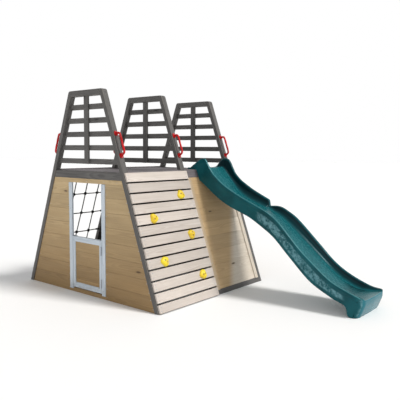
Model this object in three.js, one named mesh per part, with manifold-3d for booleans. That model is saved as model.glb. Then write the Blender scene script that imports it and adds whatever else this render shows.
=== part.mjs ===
// Pyramid climbing frame for a garden: three leaning ladder frames carry a deck, a climbing wall with
// holds, a cargo net, board cladding, a gable with a half door, grab handles and a wave slide.
// Millimetres, +Z up. While it is built, x = 0 is the ridge line, y = 0 the front of the front frame and
// z = 0 the ground. The last step moves the origin to the middle of the bounding box's bottom.
import * as THREE from "three";
import { mergeVertices } from "three/addons/utils/BufferGeometryUtils.js";
import Module from "manifold-3d";

// ---- driving dimensions ----
const HEIGHT = 1960; // ground to the top of a frame
const TOP_WIDTH = 490; // across the top of a frame, outside
const LEAN = THREE.MathUtils.degToRad(20); // each leg's lean from the vertical
const FRAME_PITCH = 775; // front face of one frame to the front face of the next
const TIMBER_DEPTH = 60; // a leg, along y
const TIMBER_THICK = 45; // a leg, square to the slope
const GAP = 0.3; // between pieces that touch
const CORNER_RADIUS = 22; // rounded top corner of a leg
const RAIL_HEIGHT = 56; // top rail
const RUNG = { count: 5, firstTop: 1830, pitch: 128, height: 50, setBack: 29, depth: 28 };
const SLAT = { width: 62, setBack: 10, depth: 19.5 }; // upright slat that ties the rungs together
const DECK_TOP = 1200;
const DECK_BOARD = { count: 10, width: 90, gap: 5, thick: 20 };
const DECK_HALF_WIDTH = 472;
const DECK_BATTEN = { height: 26, width: 45 };
const CROSS_BEAM = { bottom: 1128, height: 70, setBack: 6 };
const SIDE_BEAM = { bottom: 1130, top: 1209 };
const BASE_RAIL_HEIGHT = 48;
const CLADDING = { top: 1127.7, thick: 18, setBack: 10 };
const DOORWAY = { halfWidth: 217, jamb: 50, bottom: 40, top: 1085, trimDepth: 18, postDepth: 57 };
const SILL = { height: 30, depth: 26 };
const DOOR = { bottom: 50, top: 557, left: -215, right: 213, front: 4, thick: 30, stile: 30, rail: 46 };
const HINGE = { x: 216, y: -3, centres: [457, 146], length: 80, barrel: 5, pin: 2.4, bore: 2.8, leaf: 1.6 };
const BOARD = { count: 13, pitch: 99.36, gap: 13, firstGap: 86, thick: 18.7, front: 10, back: 834.7 };
const HOLD = { boards: [2, 4, 6, 8, 10], y: [672, 214, 659, 215, 652], radius: 47, height: 34 };
const ROPE = { radius: 6, upright: [311, 465, 628], level: [928, 709, 489, 270], inset: 22, knot: 12 };
const HANDLE = { low: 1442, high: 1647, standOff: 64, rod: 10, pad: 22, padThick: 12 };
const SLIDE = { near: 1010, far: 1500, wall: 26, bed: 14 };

const rearFace = 2 * FRAME_PITCH + TIMBER_DEPTH;
const legWidth = TIMBER_THICK / Math.cos(LEAN); // level width of a leg's front face
const baseHalf = TOP_WIDTH / 2 + HEIGHT * Math.tan(LEAN);
const halfWidth = (z) => baseHalf - z * Math.tan(LEAN); // outside of a frame at height z
const innerHalf = (z) => halfWidth(z) - legWidth - GAP; // room between the legs at height z
const bays = { front: [TIMBER_DEPTH, FRAME_PITCH], rear: [FRAME_PITCH + TIMBER_DEPTH, 2 * FRAME_PITCH] };

// ---- materials ----
const finish = (color, roughness, metalness = 0) =>
  new THREE.MeshStandardMaterial({ color, roughness, metalness });
const stain = finish(0x5a5652, 0.75);
const beamStain = finish(0x6b6668, 0.75);
const cladWood = finish(0xa98f63, 0.7);
const paleWood = finish(0xdcd2c4, 0.7);
const whitePaint = finish(0xc9d3dc, 0.45);
const yellowPlastic = finish(0xf5dc30, 0.45);
const redPlastic = finish(0xd81a1a, 0.35);
const blackRope = finish(0x15151a, 0.9);
const greenPlastic = finish(0x175457, 0.25);
const zinc = finish(0x8d949c, 0.35, 1);

// ---- solids: joining, cutting and basic shapes ----
const wasm = await Module();
wasm.setup();

function solid(geometry) {
  const bare = geometry.clone();
  bare.deleteAttribute("normal");
  bare.deleteAttribute("uv");
  const merged = mergeVertices(bare, 1e-3);
  return new wasm.Manifold(
    new wasm.Mesh({
      numProp: 3,
      vertProperties: merged.attributes.position.array,
      triVerts: new Uint32Array(merged.index.array),
    }),
  );
}

function geometryOf(manifold) {
  const mesh = manifold.getMesh();
  const geometry = new THREE.BufferGeometry();
  geometry.setAttribute("position", new THREE.BufferAttribute(mesh.vertProperties, 3));
  geometry.setIndex(new THREE.BufferAttribute(mesh.triVerts, 1));
  return geometry;
}

const join = (...pieces) => geometryOf(pieces.map(solid).reduce((all, next) => all.add(next)));
const cut = (piece, ...tools) =>
  geometryOf(tools.map(solid).reduce((rest, tool) => rest.subtract(tool), solid(piece)));

function part(name, geometry, material) {
  const mesh = new THREE.Mesh(geometry, material);
  mesh.name = name;
  return mesh;
}

function block([x0, x1], [y0, y1], [z0, z1]) {
  const box = new THREE.BoxGeometry(x1 - x0, y1 - y0, z1 - z0);
  return box.translate((x0 + x1) / 2, (y0 + y1) / 2, (z0 + z1) / 2);
}

// A shape drawn in x and z, run along y from y0 to y1.
function runAlongY(shape, y0, y1) {
  const run = new THREE.ExtrudeGeometry(shape, { depth: y1 - y0, bevelEnabled: false, curveSegments: 4 });
  return run.rotateX(Math.PI / 2).translate(0, y1, 0);
}

function outline(points) {
  return new THREE.Shape(points.map(([x, z]) => new THREE.Vector2(x, z)));
}

// A level band between heights z0 and z1 whose ends meet the inner faces of both legs.
function bandBetweenLegs(z0, z1, y0, y1) {
  const ends = [
    [-innerHalf(z0), z0],
    [innerHalf(z0), z0],
    [innerHalf(z1), z1],
    [-innerHalf(z1), z1],
  ];
  return runAlongY(outline(ends), y0, y1);
}

// A strip that lies in the slope between heights z0 and z1, with its faces at outward offsets n0 and n1.
function slopeStrip(side, [z0, z1], [n0, n1], [y0, y1]) {
  const level = (n) => n / Math.cos(LEAN);
  const corners = [
    [side * (halfWidth(z0) + level(n0)), z0],
    [side * (halfWidth(z0) + level(n1)), z0],
    [side * (halfWidth(z1) + level(n1)), z1],
    [side * (halfWidth(z1) + level(n0)), z1],
  ];
  return runAlongY(outline(corners), y0, y1);
}

// A group whose own z runs up the slope of one side from the foot, and whose x is square to the slope.
function slopeGroup(side) {
  const group = new THREE.Group();
  group.position.x = side * baseHalf;
  group.rotation.y = -side * LEAN;
  return group;
}

// ---- ladder frames ----
function legGeometry(side) {
  const shape = new THREE.Shape();
  const top = TOP_WIDTH / 2;
  shape.moveTo(side * baseHalf, 0);
  shape.lineTo(side * halfWidth(HEIGHT - CORNER_RADIUS), HEIGHT - CORNER_RADIUS);
  shape.quadraticCurveTo(side * top, HEIGHT, side * (top - CORNER_RADIUS), HEIGHT);
  shape.lineTo(side * (top - legWidth), HEIGHT);
  shape.lineTo(side * (baseHalf - legWidth), 0);
  return runAlongY(shape, 0, TIMBER_DEPTH);
}

// The top rail, the upright slat and the rungs of one frame, screwed together into a ladder.
function ladderGeometry() {
  const railBottom = HEIGHT - RAIL_HEIGHT;
  const overlap = 1;
  const pieces = [bandBetweenLegs(railBottom, HEIGHT, 0, TIMBER_DEPTH)];
  for (let i = 0; i < RUNG.count; i++) {
    const top = RUNG.firstTop - i * RUNG.pitch;
    pieces.push(bandBetweenLegs(top - RUNG.height, top, RUNG.setBack, RUNG.setBack + RUNG.depth));
  }
  const lowest = RUNG.firstTop - (RUNG.count - 1) * RUNG.pitch - RUNG.height;
  const half = SLAT.width / 2;
  const slatRun = [SLAT.setBack, SLAT.setBack + SLAT.depth];
  pieces.push(block([-half, half], slatRun, [lowest, railBottom + overlap]));
  return join(...pieces);
}

function crossBeamGeometry(top) {
  return bandBetweenLegs(CROSS_BEAM.bottom, top, CROSS_BEAM.setBack, TIMBER_DEPTH - CROSS_BEAM.setBack);
}

function ladderFrame(name, y, beamTop) {
  const frame = new THREE.Group();
  frame.position.y = y;
  frame.add(part(`leg_${name}_left`, legGeometry(-1), stain));
  frame.add(part(`leg_${name}_right`, legGeometry(1), stain));
  frame.add(part(`rung_ladder_${name}`, ladderGeometry(), stain));
  frame.add(part(`cross_beam_${name}`, crossBeamGeometry(beamTop), stain));
  return frame;
}

// ---- deck and beams along the sides ----
function deckGeometry() {
  const front = TIMBER_DEPTH - CROSS_BEAM.setBack + GAP;
  const back = 2 * FRAME_PITCH + CROSS_BEAM.setBack - GAP;
  const boardBottom = DECK_TOP - DECK_BOARD.thick;
  const pitch = (2 * DECK_HALF_WIDTH + DECK_BOARD.gap) / DECK_BOARD.count;
  const pieces = [];
  for (let i = 0; i < DECK_BOARD.count; i++) {
    const left = -DECK_HALF_WIDTH + i * pitch;
    pieces.push(block([left, left + pitch - DECK_BOARD.gap], [front, back], [boardBottom, DECK_TOP]));
  }
  const inset = 10;
  const half = DECK_HALF_WIDTH - inset;
  const span = DECK_BATTEN.width;
  const starts = [front, FRAME_PITCH / 2, 1.5 * FRAME_PITCH + TIMBER_DEPTH - span, back - span];
  for (const y of starts)
    pieces.push(block([-half, half], [y, y + span], [boardBottom - DECK_BATTEN.height, boardBottom + 1]));
  return join(...pieces);
}

function sideBeam(name, side, bay) {
  const [y0, y1] = bays[bay];
  const run = [y0 + GAP, y1 - GAP];
  const geometry = slopeStrip(side, [SIDE_BEAM.bottom, SIDE_BEAM.top], [-TIMBER_THICK, 0], run);
  return part(`side_beam_${name}_${bay}`, geometry, beamStain);
}

function baseRail(name, side, bay) {
  const [y0, y1] = bays[bay];
  const run = [y0 + GAP, y1 - GAP];
  const geometry = slopeStrip(side, [0, BASE_RAIL_HEIGHT], [-TIMBER_THICK, 0], run);
  return part(`base_rail_${name}_${bay}`, geometry, stain);
}

// ---- cladding ----
// Boards of the front gable beside the doorway, between a leg and the jamb.
function gablePanel(side) {
  const inner = DOORWAY.halfWidth + DOORWAY.jamb + GAP;
  const corners = [
    [side * inner, 0],
    [side * innerHalf(0), 0],
    [side * innerHalf(DOORWAY.top), DOORWAY.top],
    [side * inner, DOORWAY.top],
  ];
  return runAlongY(outline(corners), CLADDING.setBack, CLADDING.setBack + CLADDING.thick);
}

// Boards of one slope between two frames, with a cover batten at each end.
function slopeCladding(side, bottom) {
  const [y0, y1] = [bays.rear[0] + GAP, bays.rear[1] - GAP];
  const top = SIDE_BEAM.bottom - GAP;
  const battenWidth = 49;
  const [proud, battenFace] = [0.8, 12];
  const strips = [[y0, y0 + battenWidth], [y1 - battenWidth, y1]];
  return join(
    slopeStrip(side, [bottom, top], [-CLADDING.thick, proud], [y0, y1]),
    ...strips.map((run) => slopeStrip(side, [BASE_RAIL_HEIGHT + GAP, top], [proud / 2, battenFace], run)),
  );
}

// ---- doorway and half door ----
function sillGeometry() {
  const outer = DOORWAY.halfWidth + DOORWAY.jamb;
  const inner = DOORWAY.halfWidth - GAP;
  const points = [
    [-outer, 0],
    [outer, 0],
    [outer, SILL.height],
    [inner, SILL.height],
    [inner, DOORWAY.bottom],
    [-inner, DOORWAY.bottom],
    [-inner, SILL.height],
    [-outer, SILL.height],
  ];
  return runAlongY(outline(points), CLADDING.setBack, CLADDING.setBack + SILL.depth);
}

const jambFront = 2.5;

// A flat trim board over the whole height, with a deeper post behind it as high as the door.
function jambGeometry(side) {
  const inner = side * DOORWAY.halfWidth;
  const outer = side * (DOORWAY.halfWidth + DOORWAY.jamb);
  const x = [Math.min(inner, outer), Math.max(inner, outer)];
  const foot = SILL.height + GAP;
  return join(
    block(x, [jambFront, jambFront + DOORWAY.trimDepth], [foot, DOORWAY.top - GAP]),
    block(x, [jambFront, jambFront + DOORWAY.postDepth], [foot, DOOR.top]),
  );
}

// The strip on the left jamb that the closed door stops against.
function doorStopGeometry() {
  const [width, depth] = [14, 18];
  const behindDoor = DOOR.front + DOOR.thick + 3;
  const stop = block(
    [-DOORWAY.halfWidth - 1, -DOORWAY.halfWidth + width],
    [behindDoor, behindDoor + depth],
    [DOORWAY.bottom + 2, DOOR.top],
  );
  return join(jambGeometry(-1), stop);
}

function doorFrameGeometry() {
  const ring = outline([
    [DOOR.left, DOOR.bottom],
    [DOOR.right, DOOR.bottom],
    [DOOR.right, DOOR.top],
    [DOOR.left, DOOR.top],
  ]);
  const hole = outline([
    [DOOR.left + DOOR.stile, DOOR.bottom + DOOR.rail],
    [DOOR.left + DOOR.stile, DOOR.top - DOOR.rail],
    [DOOR.right - DOOR.stile, DOOR.top - DOOR.rail],
    [DOOR.right - DOOR.stile, DOOR.bottom + DOOR.rail],
  ]);
  ring.holes.push(hole);
  return runAlongY(ring, DOOR.front, DOOR.front + DOOR.thick);
}

function doorPanelGeometry() {
  const [setBack, thick] = [9, 14];
  return block(
    [DOOR.left + DOOR.stile + GAP, DOOR.right - DOOR.stile - GAP],
    [DOOR.front + setBack, DOOR.front + setBack + thick],
    [DOOR.bottom + DOOR.rail + GAP, DOOR.top - DOOR.rail - GAP],
  );
}

// Butt hinge: each leaf lies in the gap between the door's edge and the jamb, and its barrel stands proud.
const knuckleHalf = 14;
const upright = (radius, z0, z1, sides) =>
  new THREE.CylinderGeometry(radius, radius, z1 - z0, sides)
    .rotateX(Math.PI / 2)
    .translate(HINGE.x, HINGE.y, (z0 + z1) / 2);

function hingeLeaf(x0, centre, tabRanges) {
  const half = HINGE.length / 2;
  const x = [x0, x0 + HINGE.leaf];
  const clearOfBarrel = HINGE.y + HINGE.barrel + 0.6;
  const leafBack = 30;
  const plate = block(x, [clearOfBarrel, leafBack], [centre - half, centre + half]);
  const tabs = tabRanges.map((z) => block(x, [HINGE.y, clearOfBarrel + 1], z));
  return [plate, ...tabs];
}

function fixedLeafGeometry(centre) {
  const half = HINGE.length / 2;
  const ends = [
    [centre - half, centre - knuckleHalf],
    [centre + knuckleHalf, centre + half],
  ];
  const x0 = DOORWAY.halfWidth - GAP - HINGE.leaf;
  const knuckles = ends.map(([z0, z1]) => upright(HINGE.barrel, z0, z1, 12));
  const pin = upright(HINGE.pin, centre - half, centre + half, 16);
  return join(...hingeLeaf(x0, centre, ends), ...knuckles, pin);
}

function movingLeafGeometry(centre) {
  const middle = [centre - knuckleHalf + GAP, centre + knuckleHalf - GAP];
  const leaf = join(...hingeLeaf(DOOR.right + GAP, centre, [middle]), upright(HINGE.barrel, ...middle, 12));
  return cut(leaf, upright(HINGE.bore, centre - knuckleHalf - 1, centre + knuckleHalf + 1, 16));
}

// ---- climbing wall ----
const boardFace = GAP + BOARD.thick;

// Distances up the slope of one board's lower and upper edge.
function boardEdges(i) {
  const gapCentre = (k) => BOARD.firstGap + k * BOARD.pitch;
  const bottom = i === 0 ? 3 : gapCentre(i - 1) + BOARD.gap / 2;
  const last = i === BOARD.count - 1;
  const top = last ? bottom + BOARD.pitch - BOARD.gap : gapCentre(i) - BOARD.gap / 2;
  return [bottom, top];
}

function climbingBoards() {
  const slope = slopeGroup(1);
  for (let i = 0; i < BOARD.count; i++) {
    const geometry = block([GAP, boardFace], [BOARD.front, BOARD.back], boardEdges(i));
    slope.add(part(`climbing_board_${String(i + 1).padStart(2, "0")}`, geometry, paleWood));
  }
  return slope;
}

// A rounded, five-lobed hold. Its flat back lies on the face of the board, at x = 0.
function holdGeometry() {
  const rounding = HOLD.height * 0.72;
  const core = HOLD.radius - rounding;
  const shape = new THREE.Shape();
  const [lobes, steps, swell] = [5, 30, 0.14];
  for (let k = 0; k < steps; k++) {
    const angle = (2 * Math.PI * k) / steps;
    const radius = core * (1 + swell * Math.cos(lobes * angle));
    shape[k ? "lineTo" : "moveTo"](radius * Math.cos(angle), radius * Math.sin(angle));
  }
  const dome = new THREE.ExtrudeGeometry(shape, {
    depth: 2 * (HOLD.height - rounding),
    bevelThickness: rounding,
    bevelSize: rounding,
    bevelSegments: 3,
  });
  dome.translate(0, 0, rounding - HOLD.height);
  const size = 3 * HOLD.radius;
  const behind = block([-size, size], [-size, size], [-size, 0]);
  return cut(dome, behind).rotateY(Math.PI / 2);
}

function climbingHolds() {
  const slope = slopeGroup(1);
  HOLD.boards.forEach((board, i) => {
    const [bottom, top] = boardEdges(board);
    const hold = part(`climbing_hold_${i + 1}`, holdGeometry(), yellowPlastic);
    hold.position.set(boardFace + GAP, HOLD.y[i], (bottom + top) / 2);
    hold.rotation.x = 0.9 * i;
    slope.add(hold);
  });
  return slope;
}

// ---- cargo net ----
const rope = (radius, length) => new THREE.CylinderGeometry(radius, radius, length, 8);

// Distance up the slope of a point at height z and at outward offset n.
const upSlope = (z, n) => (z - n * Math.sin(LEAN)) / Math.cos(LEAN);

function netGeometry() {
  const [y0, y1] = [bays.front[0] + GAP, bays.front[1] - GAP];
  const clear = 4;
  const low = upSlope(BASE_RAIL_HEIGHT, -ROPE.inset) + clear;
  const high = upSlope(SIDE_BEAM.bottom, -ROPE.inset) - clear;
  const ferrule = { radius: 9, length: 34 };
  const pieces = [];
  for (const y of ROPE.upright)
    pieces.push(rope(ROPE.radius, high - low).rotateX(Math.PI / 2).translate(0, y, (low + high) / 2));
  for (const z of ROPE.level) {
    const s = upSlope(z, -ROPE.inset);
    pieces.push(rope(ROPE.radius, y1 - y0).translate(0, (y0 + y1) / 2, s));
    for (const y of [y0 + ferrule.length / 2, y1 - ferrule.length / 2])
      pieces.push(rope(ferrule.radius, ferrule.length).translate(0, y, s));
    for (const y of ROPE.upright)
      pieces.push(new THREE.SphereGeometry(ROPE.knot, 8, 6).translate(0, y, s));
  }
  return join(...pieces);
}

function cargoNet() {
  const slope = slopeGroup(-1);
  const net = part("cargo_net", netGeometry(), blackRope);
  net.position.x = ROPE.inset;
  slope.add(net);
  return slope;
}

// ---- grab handles ----
// A bow on two round pads. Its pads lie on the leg at x = 0 and the bow stands off along +x.
function handleGeometry() {
  const { low, high, standOff, rod, pad, padThick } = HANDLE;
  const reach = standOff - rod;
  const route = new THREE.CatmullRomCurve3([
    new THREE.Vector3(4, 0, low),
    new THREE.Vector3(0.7 * reach, 0, low + 5),
    new THREE.Vector3(0.98 * reach, 0, low + 26),
    new THREE.Vector3(reach, 0, (low + high) / 2),
    new THREE.Vector3(0.98 * reach, 0, high - 26),
    new THREE.Vector3(0.7 * reach, 0, high - 5),
    new THREE.Vector3(4, 0, high),
  ]);
  const section = new THREE.Shape().absarc(0, 0, rod, 0, 2 * Math.PI);
  const bow = new THREE.ExtrudeGeometry(section, { steps: 18, extrudePath: route, curveSegments: 4 });
  const pads = [low, high].map((s) =>
    new THREE.CylinderGeometry(pad - 4, pad, padThick, 14)
      .rotateZ(-Math.PI / 2)
      .translate(padThick / 2, 0, s),
  );
  return join(bow, ...pads);
}

// Handles flank each way up or down: the climbing wall and the slide on the right, the net on the left.
function grabHandles(sideName, side) {
  const slope = slopeGroup(side);
  const frames = side > 0 ? ["front", "middle", "rear"] : ["front", "middle"];
  frames.forEach((name, i) => {
    const handle = part(`grab_handle_${name}_${sideName}`, handleGeometry(), redPlastic);
    handle.position.set(side * GAP, i * FRAME_PITCH + TIMBER_DEPTH / 2, 0);
    handle.rotation.z = side > 0 ? 0 : Math.PI;
    slope.add(handle);
  });
  return slope;
}

// ---- wave slide ----
const curve = (points, steps) =>
  new THREE.SplineCurve(points.map(([x, z]) => new THREE.Vector2(x, z))).getPoints(steps);

// Underside of the side walls, from the foot up to the side beam, then back over the beam to the entry.
const underside = [
  ...curve([[2130, 114], [2036, 150], [1840, 255], [1631, 444], [1468, 599]], 10),
  ...curve([[1334, 688], [1184, 770], [1006, 836], [882, 889], [768, 958], [690, 1014], [597, 1081]], 10),
];
const overBeam = [[566, 1098], [549, 1142], [521, 1209.6], [404, 1209.6]];
const foot = [[2281, 0], [2234, 0], [2211, 10], [2200, 40], [2195, 74], [2177, 97]];

function slideWall(rim, y0) {
  const points = [...rim.map((p) => [p.x, p.y]), ...foot, ...underside.map((p) => [p.x, p.y]), ...overBeam];
  return runAlongY(outline(points), y0, y0 + SLIDE.wall);
}

function nearRim() {
  const crest = curve([[412, 1216], [488, 1264], [541, 1301], [590, 1323], [630, 1321], [674, 1258]], 12);
  const run = curve(
    [[713, 1198], [765, 1144], [879, 1059], [1063, 966], [1296, 870], [1409, 813], [1519, 734],
      [1711, 542], [1834, 436], [2032, 287], [2218, 209], [2316, 171]],
    26,
  );
  return [...crest, ...run];
}

// The far wall is lower, and steps down where the upper part of the slide ends.
function farRim() {
  const crest = curve([[412, 1216], [455, 1272], [495, 1310], [540, 1322], [580, 1313], [606, 1288], [640, 1228]], 12);
  const upper = curve([[680, 1162], [745, 1100], [795, 1066], [925, 992], [1113, 906]], 8);
  const lower = curve(
    [[1132, 842], [1246, 843], [1352, 797], [1467, 721], [1692, 515], [1854, 365], [2009, 267],
      [2205, 188], [2316, 171]],
    22,
  );
  return [...crest, ...upper, ...lower];
}

function slideBed() {
  const top = curve(
    [[404, 1225], [470, 1225], [522, 1225], [556, 1200], [590, 1162], [652, 1096], [760, 990], [882, 918],
      [1006, 866], [1184, 800], [1307, 747], [1459, 634], [1639, 480], [1876, 282], [2079, 172],
      [2200, 150], [2300, 160]],
    40,
  );
  const bottom = top.map((p) => [p.x, p.y - SLIDE.bed]).reverse();
  const overlap = 5;
  const sides = [SLIDE.near + SLIDE.wall - overlap, SLIDE.far - SLIDE.wall + overlap];
  return runAlongY(outline([...top.map((p) => [p.x, p.y]), ...bottom]), ...sides);
}

// The rounded end of the slide: bowed outward in plan, with its front face drawn in towards the ground.
function slideNose() {
  const [back, bow, height] = [2262, 2352, 171];
  const [y0, y1] = [SLIDE.near, SLIDE.far];
  const plan = new THREE.Shape();
  plan.moveTo(back, -y0);
  plan.lineTo(2300, -y0);
  plan.bezierCurveTo(bow, -y0 - 40, bow + 14, -y1 + 60, 2306, -y1);
  plan.lineTo(back, -y1);
  const nose = new THREE.ExtrudeGeometry(plan, { depth: height, bevelEnabled: false, curveSegments: 10 });
  nose.scale(1, -1, 1);
  const drawIn = runAlongY(outline([[2281, -1], [2420, -1], [2420, 120], [2330, 120]]), y0 - 1, y1 + 1);
  return cut(turnFaces(nose), drawIn);
}

// Turns each triangle of a mirrored geometry round, so that its faces point out again.
function turnFaces(geometry) {
  const position = geometry.getAttribute("position");
  for (let i = 0; i < position.count; i += 3) {
    const keep = new THREE.Vector3().fromBufferAttribute(position, i + 1);
    position.setXYZ(i + 1, position.getX(i + 2), position.getY(i + 2), position.getZ(i + 2));
    position.setXYZ(i + 2, keep.x, keep.y, keep.z);
  }
  return geometry;
}

function slideGeometry() {
  return join(
    slideWall(nearRim(), SLIDE.near),
    slideWall(farRim(), SLIDE.far - SLIDE.wall),
    slideBed(),
    slideNose(),
  );
}

// ---- assembly ----
const model = new THREE.Group();
model.add(
  ladderFrame("front", 0, CROSS_BEAM.bottom + CROSS_BEAM.height),
  ladderFrame("middle", FRAME_PITCH, DECK_TOP - DECK_BOARD.thick - GAP),
  ladderFrame("rear", 2 * FRAME_PITCH, CROSS_BEAM.bottom + CROSS_BEAM.height),
);
for (const [name, side] of [["left", -1], ["right", 1]])
  model.add(sideBeam(name, side, "front"), sideBeam(name, side, "rear"), grabHandles(name, side));
model.add(part("deck", deckGeometry(), beamStain));

const gableBack = CLADDING.setBack + CLADDING.thick;
const header = bandBetweenLegs(DOORWAY.top + GAP, CLADDING.top, CLADDING.setBack, gableBack);
const rearPanel = bandBetweenLegs(0, CLADDING.top, rearFace - gableBack, rearFace - CLADDING.setBack);
model.add(
  part("gable_cladding_left", gablePanel(-1), cladWood),
  part("gable_cladding_right", gablePanel(1), cladWood),
  part("gable_cladding_header", header, cladWood),
  part("rear_cladding", rearPanel, cladWood),
  part("side_cladding_right", slopeCladding(1, BASE_RAIL_HEIGHT + GAP), paleWood),
  part("side_cladding_left", slopeCladding(-1, 0), paleWood),
  baseRail("right", 1, "rear"),
  baseRail("left", -1, "front"),
  part("door_sill", sillGeometry(), cladWood),
  part("door_jamb_left", doorStopGeometry(), whitePaint),
  part("door_jamb_right", jambGeometry(1), whitePaint),
  part("door_frame", doorFrameGeometry(), whitePaint),
  part("door_panel", doorPanelGeometry(), cladWood),
);
["upper", "lower"].forEach((name, i) => {
  model.add(part(`hinge_${name}_jamb_leaf`, fixedLeafGeometry(HINGE.centres[i]), zinc));
  model.add(part(`hinge_${name}_door_leaf`, movingLeafGeometry(HINGE.centres[i]), zinc));
});
model.add(climbingBoards(), climbingHolds(), cargoNet(), part("wave_slide", slideGeometry(), greenPlastic));

const bounds = new THREE.Box3().setFromObject(model, true);
const centre = bounds.getCenter(new THREE.Vector3());
model.position.set(-centre.x, -centre.y, -bounds.min.z);

const climbingFrame = new THREE.Group();
climbingFrame.add(model);

export default climbingFrame;
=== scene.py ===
"""Garden climbing frame: the looks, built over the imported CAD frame.

Shapes are worked out in millimetres in a design frame: x = 0 under the ridge, y = 0 at the front of the
front ladder frame, z = 0 on the ground. row() turns such a point into the row frame, in metres.
"""

import math
import random

import bmesh
import bpy
import numpy as np
from mathutils import Matrix, Vector


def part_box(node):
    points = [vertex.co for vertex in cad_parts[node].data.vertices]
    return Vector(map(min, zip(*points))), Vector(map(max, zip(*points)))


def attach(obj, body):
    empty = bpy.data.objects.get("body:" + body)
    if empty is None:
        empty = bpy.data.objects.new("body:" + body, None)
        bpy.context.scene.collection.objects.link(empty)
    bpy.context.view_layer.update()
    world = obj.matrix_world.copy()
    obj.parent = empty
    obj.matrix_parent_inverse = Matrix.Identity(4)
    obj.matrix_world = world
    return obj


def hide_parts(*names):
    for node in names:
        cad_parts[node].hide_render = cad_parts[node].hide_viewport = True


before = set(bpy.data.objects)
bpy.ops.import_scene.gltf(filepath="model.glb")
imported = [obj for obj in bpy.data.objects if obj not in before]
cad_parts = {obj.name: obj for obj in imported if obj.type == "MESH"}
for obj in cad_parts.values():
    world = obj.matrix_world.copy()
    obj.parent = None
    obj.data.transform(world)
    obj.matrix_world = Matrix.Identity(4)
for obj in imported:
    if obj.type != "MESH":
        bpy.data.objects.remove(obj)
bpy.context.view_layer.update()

# ---- the design frame and its main sizes, in millimetres ----
left_foot, right_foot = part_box("leg_front_left"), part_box("leg_front_right")
ORIGIN = Vector(((left_foot[0].x + right_foot[1].x) / 2, left_foot[0].y, 0))
LEAN = math.radians(20)
HEIGHT, TOP_WIDTH, PITCH = 1960, 490, 775
DEPTH, THICK, GAP = 60, 45, 0.3
BASE_HALF = TOP_WIDTH / 2 + HEIGHT * math.tan(LEAN)
LEG_WIDTH = THICK / math.cos(LEAN)
BAYS = {"front": (DEPTH, PITCH), "rear": (PITCH + DEPTH, 2 * PITCH)}
REAR_FACE = 2 * PITCH + DEPTH
CLAD_TOP, CLAD_BACK, CLAD_THICK = 1127.7, 10, 18
BOARD_FACE, BOARD_GAP = 19.0, 13.0
DOOR_HINGE = Vector((216, -3, 0))
FRAMES, SIDES = ("front", "middle", "rear"), ((-1, "left"), (1, "right"))


def row(point):
    return ORIGIN + Vector(point) / 1000


def half(z):
    return BASE_HALF - z * math.tan(LEAN)


def inner(z):
    return half(z) - LEG_WIDTH - GAP


def slope_axes(side):
    out = Vector((side * math.cos(LEAN), 0, math.sin(LEAN)))
    up = Vector((-side * math.sin(LEAN), 0, math.cos(LEAN)))
    return out, up


def on_slope(side, out, y, up):
    """The point at offset out from the slope's face, at y, and up the slope from the foot."""
    a, b = slope_axes(side)
    return Vector((side * BASE_HALF, y, 0)) + a * out + b * up


# ---- meshes ----
X, Y, Z = Vector((1, 0, 0)), Vector((0, 1, 0)), Vector((0, 0, 1))
rng = random.Random(84)


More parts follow.
